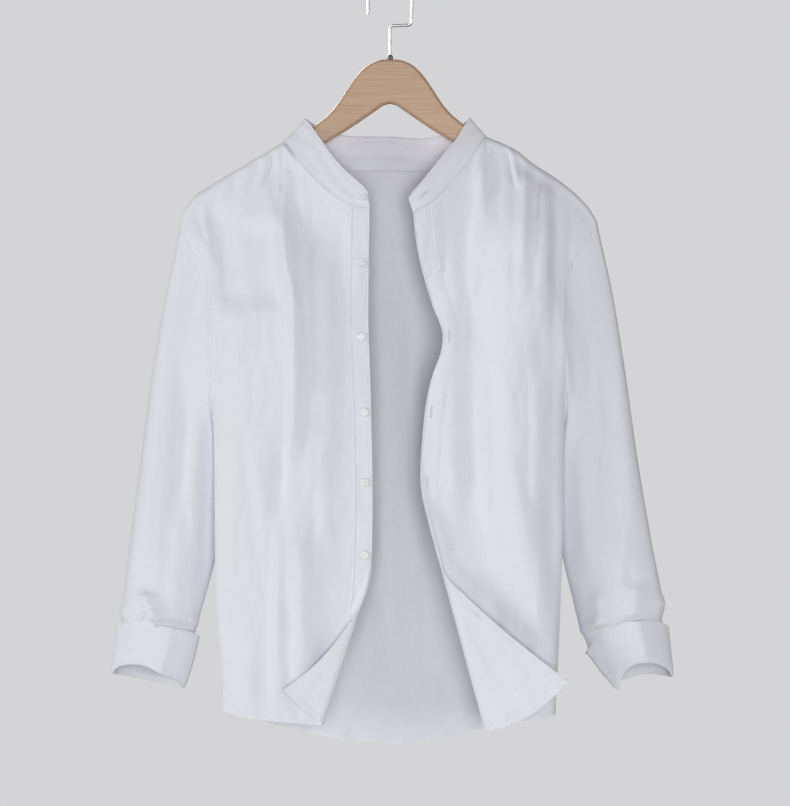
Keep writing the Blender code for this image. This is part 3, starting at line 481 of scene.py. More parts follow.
def bell(distance, width):
    """1 in the middle, and less the further away, down to a third at this width."""
    return np.exp(-((distance / width) ** 2))


def stacked(x, y, z):
    """Points from their three coordinates."""
    return np.stack(np.broadcast_arrays(x, y, z), axis=-1)


def unit(vectors):
    """The same directions, each one long."""
    return vectors / np.maximum(np.linalg.norm(vectors, axis=-1, keepdims=True), 1e-12)


def finer(stops, length, step):
    """The same shares with more between them, so that none are further apart than a step."""
    parts = []
    for low, high in zip(stops[:-1], stops[1:]):
        count = max(1, math.ceil((high - low) * length / step))
        parts.append(np.linspace(low, high, count, endpoint=False))
    return np.concatenate(parts + [stops[-1:]])


def height_down(down, stops):
    """The height a share of the way down, from stops of a share and a height each."""
    z = stops[0][1]
    for (low, above), (high, below) in zip(stops[:-1], stops[1:]):
        z = z + (below - above) * np.clip((down - low) / (high - low), 0, 1)
    return z


def fold_height(folds, x, z, flat=False):
    """How far soft ridges push the cloth out at each place, or flat slopes with a sharp foot."""
    total = np.zeros(np.broadcast(x, z).shape)
    for top_x, top_z, low_x, low_z, bow, left, right, height in zip(*folds.values()):
        along = (top_z - z) / (top_z - low_z)
        middle = top_x + (low_x - top_x) * along + 4 * bow * along * (1 - along)
        away = abs(x - middle) / np.where(x < middle, left, right)
        shape = bell(away, 1)
        if flat:
            share = np.clip(1 - away, 0, 1)
            shape = share - np.maximum(share - CREST_FROM, 0) ** 2 / (2 - 2 * CREST_FROM)
        total += height * ease(along / FOLD_END) * ease((1 - along) / FOLD_END) * shape
    return total


def crumple(waves, x, z):
    """Linen's own unevenness: soft waves of about one size each, that run every way."""
    total = 0.0
    for rise, squash, size, seed in zip(*waves.values()):
        chance = np.random.default_rng(int(seed))
        for _ in range(7):
            way = chance.uniform(0, math.pi)
            length = size * chance.uniform(0.7, 1.7)
            start = chance.uniform(0, 2 * math.pi)
            reach = (x * math.cos(way) + z * squash * math.sin(way)) * 2 * math.pi / length
            total = total + rise / 3 * np.sin(reach + start)
    return total


def shoulder_depth(below, depth, start, ridge):
    """Depth of cloth below a top edge: it rounds the shoulder, then fills out as it falls."""
    drop = np.clip(below / RIDGE_RADIUS, 0, 1)
    rounded = RIDGE_RADIUS * ridge * np.sqrt(1 - (1 - drop) ** 2)
    filled = (depth - start - RIDGE_RADIUS * ridge) * ease(below / SHOULDER_FALL)
    return start + rounded + filled


def neck_columns(side):
    """A front's top edge by share of its width: its height and its depth."""
    shoulder = side["shoulder"]
    outer_x = side["side"]["x"][0]
    width = side["edge"]["x"][0] - outer_x
    share = np.linspace(0, 1, TOP_SAMPLES)
    shoulder_share = (shoulder["x"] - outer_x) / width
    neck_share = shoulder_share[0]
    curve = table("share z", *sorted(zip(shoulder_share, shoulder["z"])))
    front_end, neck_end = side["neck"]
    at = np.linspace(neck_end, front_end, SEAM_SAMPLES)
    seam = read(COLLAR, "at", at)
    seam_share = (seam["x"] - outer_x) / width
    on_neck = share > neck_share
    on_collar = read(COLLAR, "at", np.interp(share, seam_share, at))
    return {
        "share": share,
        "z": np.where(on_neck, on_collar["z"], read(curve, "share", share)["z"]),
        "depth": np.where(on_neck, -on_collar["y"], 0),
        "neck": neck_share,
    }


def past_fold(points, corner):
    """How far points lie past the slanting line where a corner starts to turn, and which way."""
    along = np.array([corner["to_x"] - corner["x"], corner["to_z"] - corner["z"]])
    past = unit(np.array([-along[1], along[0]])) * (1 if corner["x"] < 0 else -1)
    start = np.array([corner["x"], corner["z"]]) - past * corner["radius"]
    return (points[..., [0, 2]] - start) @ past, past


def turn_corner(points, corner):
    """Rolls what lies past a slanting line outwards, so that the cloth's inside shows."""
    radius = corner["radius"]
    distance, past = past_fold(points, corner)
    turned = distance > 0
    rolled = np.clip(distance, 0, math.pi * radius)
    place = radius * np.sin(rolled / radius) - np.maximum(distance - math.pi * radius, 0)
    lift = radius * (1 - np.cos(rolled / radius))
    lift += corner["lifts"] * np.maximum(distance - math.pi * radius, 0)
    shift = np.where(turned, place - distance, 0)
    moved = points.copy()
    moved[..., 0] += shift * past[0]
    moved[..., 2] += shift * past[1]
    moved[..., 1] -= np.where(turned, lift, 0)
    return moved


def section_start(down):
    """Where a front's section starts: at the armhole seam, or lower down at the side seam."""
    fallen = np.clip((down - SINKS_FROM) / (UNDERARM_SHARE - SINKS_FROM), 0, 1)
    sunk = (ease(fallen) + 1 - np.sqrt(1 - fallen**2)) / 2
    return ARMHOLE_PLACE + (SEAM_PLACE - ARMHOLE_PLACE) * sunk


def front_surface(side, across, down, turned=True):
    """The middle of a front's cloth. Across is 0 at the seams and 1 at the front edge."""
    top = side["top"]
    start = section_start(down)
    place = start + (FULL_PLACE - start) * across
    section = read(FRONT_SECTION, "place", place)
    lead = read(FRONT_SECTION, "place", np.maximum(start, 0))["inward"]
    share = (section["inward"] - lead) / (FULL_INWARD - lead)
    visible = np.clip(np.where(place < 0, 0, share), 0, 1)
    top_z = np.interp(visible, top["share"], top["z"])
    hem_z = read(side["hem"], "share", visible)["z"]
    z = height_down(down, ((0, top_z), (UNDERARM_SHARE, UNDERARM_Z), (1, hem_z)))
    side_x = read(side["side"], "z", z)["x"]
    edge_x = read(side["edge"], "z", z)["x"]
    x = side_x + (edge_x - side_x) * share
    ridge = 1 - ease((visible - top["neck"]) / FRONT_RIDGE_REACH)
    edge_depth = np.interp(visible, top["share"], top["depth"])
    below = top_z - z
    depth = shoulder_depth(below, section["depth"], edge_depth, ridge)
    large = fold_height(FRONT_FOLDS, x, z) + fold_height(FRONT_PLANES, x, z, flat=True)
    small = fold_height(FRONT_CREASES, x, z) + fold_height(FRONT_FACETS, x, z, flat=True)
    depth = depth + large * ease(below / 30) * ease(place / 25)
    depth = depth + small * ease(below / 9) * ease(place / 14)
    depth = depth + crumple(FRONT_UNEVEN, x, z) * ease(below / 20) * ease(place / 14)
    points = stacked(x, -depth, z)
    return turn_corner(points, side["corner"]) if turned else points


def across_of(share, down):
    """Where a share of a front's width in sight lies on its section, as its across."""
    start = section_start(down)
    lead = read(FRONT_SECTION, "place", np.maximum(start, 0))["inward"]
    places = np.linspace(0, FULL_PLACE, WIDTH_SAMPLES)
    inward = read(FRONT_SECTION, "place", places)["inward"]
    place = np.interp(lead + share * (FULL_INWARD - lead), inward, places)
    return (place - start) / (FULL_PLACE - start)


def back_surface(across, down):
    """The middle of the back's cloth, from the right side (across 0) to the left (across 1)."""
    hole = read(BACK_ARMHOLE, "share", np.minimum(down, UNDERARM_SHARE))
    low_width = BACK_ARMHOLE["width"][-1]
    spread = (hole["width"] - low_width) / (1 - low_width)
    edges = []
    for side in (RIGHT, LEFT):
        seam_x = front_surface(side, 0 * down, np.maximum(down, UNDERARM_SHARE))[..., 0]
        underarm_x = front_surface(side, np.zeros(1), np.full(1, UNDERARM_SHARE))[0, 0]
        hole_x = underarm_x + (side["side"]["x"][0] - underarm_x) * spread
        edges.append(np.where(down < UNDERARM_SHARE, hole_x, seam_x))
    x = edges[0] + (edges[1] - edges[0]) * across
    top_z = np.interp(across, BACK_TOP["share"], BACK_TOP["z"])
    start = np.interp(across, BACK_TOP["share"], BACK_TOP["depth"])
    hem_z = read(BACK_HEM, "share", across)["z"]
    stops = ((0, top_z), (YOKE_SHARE, YOKE_Z), (UNDERARM_SHARE, UNDERARM_Z), (1, hem_z))
    z = height_down(down, stops)
    centre = read(BACK_DEPTH, "share", down)["depth"]
    middle = 1 - (1 - 4 * across * (1 - across)) ** 3
    depth = hole["depth"] + (centre - hole["depth"]) * middle
    right_neck, left_neck = BACK_TOP["necks"]
    inside = np.minimum(across - right_neck, left_neck - across)
    ridge = 1 - ease(inside / BACK_RIDGE_REACH)
    depth = shoulder_depth(top_z - z, depth, start, ridge)
    held = ease((top_z - z) / 60) * ease(np.minimum(across, 1 - across) / 0.08)
    folds = fold_height(BACK_FOLDS, x, z) + fold_height(BACK_CREASES, x, z)
    return stacked(x, depth + (folds + crumple(BACK_UNEVEN, x, z)) * held, z)


def back_top():
    """The back's top edge by share of its width: its height and depth."""
    right_x = RIGHT["side"]["x"][0]
    width = LEFT["side"]["x"][0] - right_x
    neck = read(COLLAR, "at", np.linspace(RIGHT_NECK_AT, LEFT_NECK_AT, SEAM_SAMPLES))
    right = RIGHT["shoulder"]
    left = LEFT["shoulder"]
    x = np.concatenate([right["x"][:0:-1], neck["x"], left["x"][1:]])
    z = np.concatenate([right["z"][:0:-1], neck["z"], left["z"][1:]])
    depth = np.concatenate([0 * right["x"][1:], neck["y"], 0 * left["x"][1:]])
    share = (x - right_x) / width
    necks = [(neck["x"][0] - right_x) / width, (neck["x"][-1] - right_x) / width]
    fine = np.unique(np.concatenate([share, np.linspace(0, 1, TOP_SAMPLES)]))
    right_curve = read(right, "x", right_x + width * fine)["z"]
    left_curve = read(left, "x", right_x + width * fine)["z"]
    rough = np.interp(fine, share, z)
    smooth = np.where(fine < necks[0], right_curve, np.where(fine > necks[1], left_curve, rough))
    return {
        "share": fine,
        "z": smooth,
        "depth": np.interp(fine, share, depth),
        "necks": necks,
    }


def arm_surface(arm, side, back_across, angle, at):
    """The middle of a sleeve's cloth. The angle is 0 on its outer line, then goes in front."""
    along = (1 - np.cos(angle)) / 2
    swell = np.sin(angle)

    def ring(rows):
        deep = np.where(swell > 0, rows["front"], rows["back"])
        arch = rows["arch"] * np.maximum(swell, 0)
        return stacked(
            rows["out_x"] + (rows["in_x"] - rows["out_x"]) * along,
            rows["mid"] + rows["lean"] * along - deep * swell,
            rows["out_z"] + (rows["in_z"] - rows["out_z"]) * along + arch,
        )

    points = ring(read(arm, "at", at))
    down = UNDERARM_SHARE * along
    in_front = front_surface(side, 0 * down, down)
    behind = back_surface(back_across + 0 * down, down)
    hole = np.where((swell >= 0)[..., None], in_front, behind)
    plain = ring({name: column[0] for name, column in arm.items()})
    near = 1 - ease(at / ARMHOLE_SHARE)
    outwards = -1 if arm["out_x"][0] < 0 else 1
    clear = UNDERARM_CLEAR * ease((along - 0.5) / 0.35) * near * ease(at / 0.04)
    points = points + (hole - plain) * near[..., None]
    points[..., 0] += outwards * clear * 0.8
    points[..., 1] += clear * 0.6
    x, y, z = np.moveaxis(points, -1, 0)
    folds = fold_height(ARM_FOLDS, x, z) + fold_height(ARM_CREASES, x, z)
    uneven = crumple(ARM_UNEVEN, x + 3 * y, z) * np.sign(swell) * abs(swell) ** 0.5
    held = ease(at / 0.2) * ease((SLEEVE_END - at) / 0.12)
    points[..., 1] -= (folds * swell + uneven) * held
    return points


def band_surface(at, rise):
    """The middle of the collar band, from its seam (rise 0) to its top edge (rise 1)."""
    rows = read(COLLAR, "at", at)
    return stacked(
        rows["x"] + (rows["top_x"] - rows["x"]) * rise,
        rows["y"] + (rows["top_y"] - rows["y"]) * rise,
        rows["z"] + (rows["top_z"] - rows["z"]) * rise,
    )


def grid_normals(points, closed=False):
    """The unit normals of a grid of points, each from its neighbours in the row and column."""
    down = np.gradient(points, axis=0)
    across = np.gradient(points, axis=1)
    if closed:
        across = np.roll(points, -1, axis=1) - np.roll(points, 1, axis=1)
    return unit(np.cross(across, down))


def lengths(points, axis):
    """How far each point of a grid lies along its row (axis 1) or its column (axis 0)."""
    steps = np.linalg.norm(np.diff(points, axis=axis), axis=-1)
    run = np.cumsum(steps, axis=axis)
    return np.concatenate([0 * run.take([0], axis), run], axis)


def edge_distances(points):
    """How far each point of a grid lies from its first and last row, first and last column."""
    down = lengths(points, 0)
    across = lengths(points, 1)
    return down, down[-1:] - down, across, across[:, -1:] - across


def inset(points, rows=(0, 0), columns=(0, 0)):
    """Draws a grid's edges in by these distances: first and last row, first and last column."""
    moved = points.copy()
    moved[0] += unit(points[1] - points[0]) * rows[0]
    moved[-1] += unit(points[-2] - points[-1]) * rows[1]
    moved[:, 0] += unit(points[:, 1] - points[:, 0]) * columns[0]
    moved[:, -1] += unit(points[:, -2] - points[:, -1]) * columns[1]
    return moved


def pucker(along, distance):
    """The small waves across a seam, strongest on its line of stitches."""
    turns = 2 * math.pi * along / PUCKER_PITCH
    waves = np.sin(turns) + 0.8 * np.sin(turns / 1.63 + 1.3) + 0.8 * np.sin(turns / 2.71 + 0.4)
    waves = waves * (0.6 + 0.4 * np.sin(turns / 7.3))
    return PUCKER_RISE * waves * bell(distance, PUCKER_REACH)


def hem_rise(distance):
    """How much thicker the folded cloth is this far from an edge, with its stitches sunk in."""
    sunk = STITCH_SINKS * bell(distance - HEM_WIDTH + EDGE_STITCH, STITCH_DENT)
    return HEM_RISE * ease((HEM_WIDTH - distance) / 0.9) - sunk


def edge_roll(distance):
    """A folded and stitched edge: round, then full, then drawn in along its stitches."""
    round_edge = -0.4 * (1 - ease(distance / 0.8))
    full = 0.45 * bell(distance - 1.0, STITCH_DENT)
    return round_edge + full - STITCH_SINKS * bell(distance - STRIP_STITCH, STITCH_DENT)


def between_rows(points, count, parts):
    """The grid with its first rows split into this many parts each."""
    places = np.concatenate([np.arange(0, count, 1 / parts), np.arange(count, len(points))])
    low = np.minimum(places.astype(int), len(points) - 2)
    share = (places - low)[:, None, None]
    return points[low] * (1 - share) + points[low + 1] * share


def add_piece(name, vertices, faces, finish, sharp=50.0):
    """A piece of the object that rides with it and takes this finish."""
    mesh = bpy.data.meshes.new(name)
    mesh.from_pydata((np.asarray(vertices) * MM).tolist(), [], faces)
    mesh.materials.append(finish)
    mesh.shade_smooth()
    mesh.set_sharp_from_angle(angle=math.radians(sharp))
    made = bpy.data.objects.new(name, mesh)
    bpy.context.scene.collection.objects.link(made)
    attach(made, "root")
    return made


def add_cloth(name, points, facing, thick, closed=False, lift=0.0, rise=0.0):
    """A thin shell of cloth about a grid of points, lifted off it and thicker by its rise."""
    rows, columns = points.shape[:2]
    normals = grid_normals(points, closed) * facing
    half = np.broadcast_to(np.asarray(thick / 2 + rise), (rows, columns))[..., None]
    inside = rows * columns
    number = np.arange(inside).reshape(rows, columns)
    if closed:
        number = np.concatenate([number, number[:, :1]], axis=1)
    around = (number[:-1, :-1], number[:-1, 1:], number[1:, 1:], number[1:, :-1])
    outer = np.stack(around, -1).reshape(-1, 4)
    quads = [outer, outer[:, ::-1] + inside]
    ends = [number[0], number[-1, ::-1]]
    sides = [] if closed else [number[:, -1], number[::-1, 0]]
    for rim in ends + sides:
        low, high = rim[:-1], rim[1:]
        quads.append(np.stack([high, low, inside + low, inside + high], -1))
    faces = np.concatenate(quads)
    skins = (points + normals * (lift + half), points + normals * (lift - half))
    vertices = np.concatenate(skins).reshape(-1, 3)
    corners = vertices[faces]
    halves = np.cross(corners[:, 1], corners[:, 2]) + np.cross(corners[:, 2], corners[:, 3])
    if np.einsum("ij,ij->", corners[:, 0], halves) < 0:
        faces = faces[:, ::-1]
    made = add_piece(name, vertices, faces.tolist(), LINEN)
    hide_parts(name.removesuffix("_cloth"))
    grain = unit(points[-1].mean(0) - points[0].mean(0))
    width = unit(points[:, -1].mean(0) - points[:, 0].mean(0)) * (not closed)
    along = points[:1] @ grain + lengths(points, 0)
    place = np.stack([points[:, :1] @ width + lengths(points, 1), along], -1).reshape(-1, 2) * MM
    weave = made.data.uv_layers.new(name="weave")
    loops = np.empty(len(made.data.loops), np.int32)
    made.data.loops.foreach_get("vertex_index", loops)
    weave.data.foreach_set("uv", place[loops % inside].astype(np.float32).ravel())
    return made, np.concatenate([points + normals * lift, normals], -1)


def line_at(grid, distance, axis=1, from_end=False):
    """The path at a distance from a grid's edge: a point in each row (axis 1) or column (0)."""
    if axis == 0:
        grid = grid.transpose(1, 0, 2)
    if from_end:
        grid = grid[:, ::-1]
    run = lengths(grid[..., :3], 1)
    places = np.arange(run.shape[1])
    place = np.array([np.interp(distance, row, places) for row in run])
    low = np.minimum(place.astype(int), run.shape[1] - 2)
    t = (place - low)[:, None]
    row = np.arange(len(grid))
    return grid[row, low] * (1 - t) + grid[row, low + 1] * t


def level_line(grid, heights):
    """The path across a grid's columns where each comes down to its height."""
    path = []
    for column, height in zip(grid.transpose(1, 0, 2), heights.T):
        above = np.flatnonzero(column[:, 2] > height)[-1]
        step = column[above + 1] - column[above]
        share = (column[above, 2] - height[above]) / -step[2]
        path.append(column[above] + step * share)
    return np.array(path)


SEWN = []


def sew(path, lift, start=0.0):
    """A line of stitches along a path of points and normals, each sunk at both its ends."""
    run = lengths(path[None, :, :3], 1)[0]
    starts = np.arange(start + STITCH_PITCH / 2, run[-1] - STITCH_PITCH, STITCH_PITCH)
    stations = starts[:, None] + np.array([0, 0.5, 1]) * STITCH_LONG
    found = np.stack([np.interp(stations, run, column) for column in path.T], -1)
    lay_stitches(found[..., :3], found[..., 3:], lift)


def lay_stitches(points, normals, lift):
    """Stitches of thread, each through three points, with its middle standing proud."""
    normals = unit(normals)
    ways = unit(points[:, 2] - points[:, 0])[:, None] + 0 * points
    sides = unit(np.cross(ways, normals))
    proud = lift + np.array([-0.15, THREAD * 0.55, -0.15])[:, None]
    middle = points + normals * proud
    spokes = ((1, 0), (0, 1), (-1, 0), (0, -1))
    ring = [middle + (sides * a + normals * b) * THREAD for a, b in spokes]
    SEWN.append(np.stack(ring, axis=2))


def add_stitching():
    """All the shirt's stitches as one piece."""
    stitches = np.concatenate(SEWN)
    base = np.arange(len(stitches))[:, None] * 12
    corners = [(3, 2, 1, 0), (8, 9, 10, 11)]
    for ring in (0, 4):
        for spoke, beside in ((0, 1), (1, 2), (2, 3), (3, 0)):
            corners.append((ring + spoke, ring + beside, ring + 4 + beside, ring + 4 + spoke))
    quads = np.concatenate([base + np.array(around) for around in corners])
    add_piece("stitching", stitches.reshape(-1, 3), quads.tolist(), THREAD_FINISH, 180)


def buttonhole(middle, along, facing, lift):
    """A buttonhole: a slit between two rows of close stitches, with a bar at each end."""
    facing = unit(facing)
    along = unit(along - facing * (along @ facing))
    aside = np.cross(facing, along)
    places = np.arange(-BUTTONHOLE_LONG / 2, BUTTONHOLE_LONG / 2 + 0.01, THREAD * 2.1)
    for edge in (-1, 1):
        inner = middle + along * places[:, None] + aside * edge * 0.25
        outer = inner + aside * edge * (BUTTONHOLE_WIDE / 2 - 0.25)
        points = np.stack([inner, (inner + outer) / 2, outer], 1)
        lay_stitches(points, facing + 0 * points, lift + 0.15)
    for end in (places[0] - 0.4, places[-1] + 0.4):
        centre = middle + along * end
        points = np.stack([centre - aside * 1.4, centre, centre + aside * 1.4])[None]
        lay_stitches(points, facing + 0 * points, lift + 0.25)


PANEL_STOPS = np.concatenate(
    [
        [0, 0.0015, 0.003, 0.006, 0.009, 0.014, 0.02, 0.03, 0.04, 0.055, 0.07],
        [YOKE_SHARE, 0.2, 0.3, 0.4, 0.43, UNDERARM_SHARE, 0.7],
        [0.985, 0.988, 0.9895, 0.991, 0.9925, 0.995, 0.998, 1],
    ]
)
STRIP_PLACES = np.array([0, 0.7, 1.4, 2.2, 3.2, 6, 9, 12, 15, 18.8, 19.8, 20.6, 21.3, 22.0])
PANEL_LONG = 690.0
LOOSE_BELOW = -640.0

# A front's columns, from its rounded side over its width to the flap and the roll of its corner
ROUNDED_PLACE = 36.0
ROUNDED_COLUMNS = 22
WIDE_COLUMNS = 72
FLAP_COLUMNS = 14
ROLL_COLUMNS = 17
CORNER_CLEAR = 8.0


def front_columns(side, downs):
    """Where a front's columns lie on each row, as a grid of across. They follow its corner."""
    roll = math.pi * side["corner"]["radius"]
    beside_strip = STRIP_WIDTH + CORNER_CLEAR
    grid = []
    for down in downs:
        edge = front_surface(side, np.ones(1), np.full(1, down), turned=False)[0]
        distance, past = past_fold(edge, side["corner"])
        width = abs(edge[0] - read(side["side"], "z", edge[2])["x"])
        fold_start = max(beside_strip + roll, distance / abs(past[0]))
        flap_end = max(beside_strip, fold_start - roll)
        flap = np.linspace(STRIP_WIDTH, flap_end, FLAP_COLUMNS)[1:]
        fold = np.linspace(flap_end, fold_start, ROLL_COLUMNS)[1:]
        near = across_of(1 - np.concatenate([STRIP_PLACES, flap, fold]) / width, down)
        start = section_start(down)
        level = (ROUNDED_PLACE - start) / (FULL_PLACE - start)
        wide = np.arange(WIDE_COLUMNS) / WIDE_COLUMNS
        rounded = np.arange(ROUNDED_COLUMNS) / ROUNDED_COLUMNS * level
        grid.append(np.concatenate([rounded, level + wide * (near[-1] - level), near[::-1]]))
    return np.array(grid)


def front_waves(points, loose):
    """The puckers along a front's hem, seams and strip, stronger where its corner is loose."""
    top, hem, seam, edge = edge_distances(points)
    along = lengths(points, 0)
    begun = ease(top / 12)
    waves = (1 + loose) * pucker(lengths(points, 1), hem - HEM_WIDTH)
    waves += 3 * pucker(along, seam - 5) * begun * ease((120 - top) / 60)
    waves += (1 + loose) * pucker(along * 0.8, edge - STRIP_WIDTH) * begun
    return waves + 2 * loose * pucker(along * 1.2, edge - 5)


def build_fronts():
    """Both fronts, each with its strip, its hem and its seams' stitches."""
    downs = finer(PANEL_STOPS, PANEL_LONG, CLOTH_STEP)
    for name, side in (("right", RIGHT), ("left", LEFT)):
        across = front_columns(side, downs)
        points = front_surface(side, across, downs[:, None] + 0 * across)
        facing = -1 if name == "right" else 1
        hem, seam = edge_distances(points)[1:3]
        loose = 2 * ease((LOOSE_BELOW - points[..., 2]) / 60) * (name == "left")
        points = points + grid_normals(points) * facing * front_waves(points, loose)[..., None]
        flat = inset(points, rows=(SEAM_GAP, 0), columns=(SEAM_GAP, 0))
        felled = FELLED_RISE * ease((ARMHOLE_STITCH + EDGE_STITCH - seam) / 0.9)
        felled = felled * (0.5 + 0.5 * ease((flat[..., 2] + 400) / 60))
        made, grid = add_cloth(
            f"front_{name}_cloth", flat, facing, LAYER, rise=hem_rise(hem) + felled
        )
        strip = between_rows(flat[2:, -len(STRIP_PLACES) :], 60, 3)
        inner, outer = edge_distances(strip)[2:]
        rise = edge_roll(inner) + edge_roll(outer)
        sinks = np.zeros_like(inner)
        if name == "left":
            above = strip[..., 2] - BOX_LOW - BOX_SLANT * outer
            boxed = ease(above / 0.9)
            rise += boxed * (0.35 + edge_roll(above) + edge_roll(abs(above - BOX_SMALL)))
            sinks = (1 - boxed) * ease((9.0 - inner) / 9.0)
            rise -= sinks * (0.38 + edge_roll(inner))
        lift = (LAYER / 2 + STRIP_LIFT + DOUBLE / 2 - STRIP_SINKS * sinks)[..., None]
        placket, laid = add_cloth(
            f"placket_{name}_cloth", strip, facing, DOUBLE, lift=lift, rise=rise
        )
        sunk = DOUBLE / 2 - 0.2
        for last in (False, True):
            sew(line_at(laid, STRIP_STITCH, from_end=last), sunk)
        if name == "left":
            slant = laid[..., 2] - above
            for rung in (STRIP_STITCH, BOX_SMALL - STRIP_STITCH, BOX_SMALL + STRIP_STITCH):
                sew(level_line(laid[:, 1:-1], slant[:, 1:-1] + rung), sunk + 0.35)
            for across in (STRIP_STITCH, TURNED_STITCH):
                sew(line_at(grid, across, from_end=True), -LAYER / 2)
        hem_line = line_at(grid[:, : -len(STRIP_PLACES)], HEM_WIDTH - EDGE_STITCH, 0, True)
        for face in (1, -1):
            sew(hem_line, face * (LAYER / 2 + 0.2))
        for distance in (EDGE_STITCH, ARMHOLE_STITCH):
            sew(line_at(grid, distance), LAYER / 2 + 0.4, start=4)


def back_columns():
    """The back's columns by share of its width, closer together where it rounds its sides."""
    right_neck, left_neck = BACK_TOP["necks"]
    return np.concatenate(
        [
            np.linspace(0, 0.04, 9),
            np.linspace(0.04, right_neck, 40)[1:],
            np.linspace(right_neck, left_neck, 76)[1:-1],
            np.linspace(left_neck, 0.96, 40),
            np.linspace(0.96, 1, 9)[1:],
        ]
    )


def build_back():
    """The yoke over the shoulders, and the back below it."""
    downs = finer(PANEL_STOPS, PANEL_LONG, CLOTH_STEP * 1.1)
    across, down = np.meshgrid(back_columns(), downs)
    points = back_surface(across, down)
    split = int(np.argmin(abs(downs - YOKE_SHARE)))
    for name, rows, gaps, flat_size, area in (
        ("back_yoke", slice(0, split + 1), (SEAM_GAP, SEAM_GAP / 2), (0.50, 0.13), 0.052),
        ("back_panel", slice(split, None), (SEAM_GAP / 2, 0), (0.44, 0.60), 0.24),
    ):
        part = points[rows]
        top, low = edge_distances(part)[:2]
        along = lengths(part, 1)
        if name == "back_panel":
            waves = pucker(along, low - HEM_WIDTH) + pucker(along * 0.9, top)
            rise = hem_rise(low)
        else:
            waves = pucker(along, low) * 0.7
            rise = 0.3 * ease((6 - low) / 0.8)
        part = part + grid_normals(part) * waves[..., None]
        flat = inset(part, rows=gaps, columns=(SEAM_GAP, SEAM_GAP))
        made, grid = add_cloth(f"{name}_cloth", flat, 1, LAYER, rise=rise)
        if name == "back_panel":
            for face in (1, -1):
                sew(line_at(grid, HEM_WIDTH - EDGE_STITCH, 0, True), face * (LAYER / 2 + 0.2))
            for last in (False, True):
                for distance in (EDGE_STITCH, FELLED_STITCH):
                    sew(line_at(grid, distance, from_end=last), LAYER / 2)
        else:
            sew(line_at(grid, EDGE_STITCH, 0, True), LAYER / 2 + 0.3)
            sew(line_at(grid, EDGE_STITCH, 0), LAYER / 2)
            sew(line_at(grid, FELLED_STITCH, 0), -LAYER / 2)


def build_collar():
    """The band: two layers of cloth with a stiff one between, stitched near every edge."""
    edge_rows = np.array([0, 0.02, 0.04, 0.06, 0.085, 0.11])
    rises = np.concatenate([edge_rows, np.linspace(0.15, 0.85, 18), 1 - edge_rows[::-1]])
    at, rise = np.meshgrid(np.linspace(0, 1, 260), rises)
    points = band_surface(at, rise)
    top, low, right, left = edge_distances(points)
    # Both ends of the top edge are rounded off, and level creases run round behind the neck
    points[..., 2] -= 3.0 * (1 - ease(np.minimum(right, left) / 7.0)) * ease(rise)
    behind = ease((at - 0.35) / 0.06) * ease((0.68 - at) / 0.06)
    level = np.sin(rise * 13.0 + 2.0 * np.sin(at * 22))
    waves = crumple(BAND_UNEVEN, lengths(points, 1), rise)
    waves += (0.3 + 0.8 * behind) * level * ease(low / 8) * ease(top / 8)
    points = points + grid_normals(points) * waves[..., None]
    edges = np.minimum(np.minimum(top, low), np.minimum(right, left))
    rise = 1.1 * edge_roll(edges)
    made, grid = add_cloth("collar_band_cloth", points, 1, BAND_THICK, rise=rise)
    for face in (1, -1):
        for last in (False, True):
            sew(line_at(grid, STRIP_STITCH, 0, last), face * (BAND_THICK / 2 - 0.2))


def cuff_line(lies, line, angles):
    """How far down a cuff's line lies at each angle, on its front and on its behind."""
    along = (1 - np.cos(angles)) / 2
    front, behind = (read(lies[name], "along", along)["down"] for name in (line, f"{line}_behind"))
    return np.where(np.sin(angles) >= 0, front, behind)


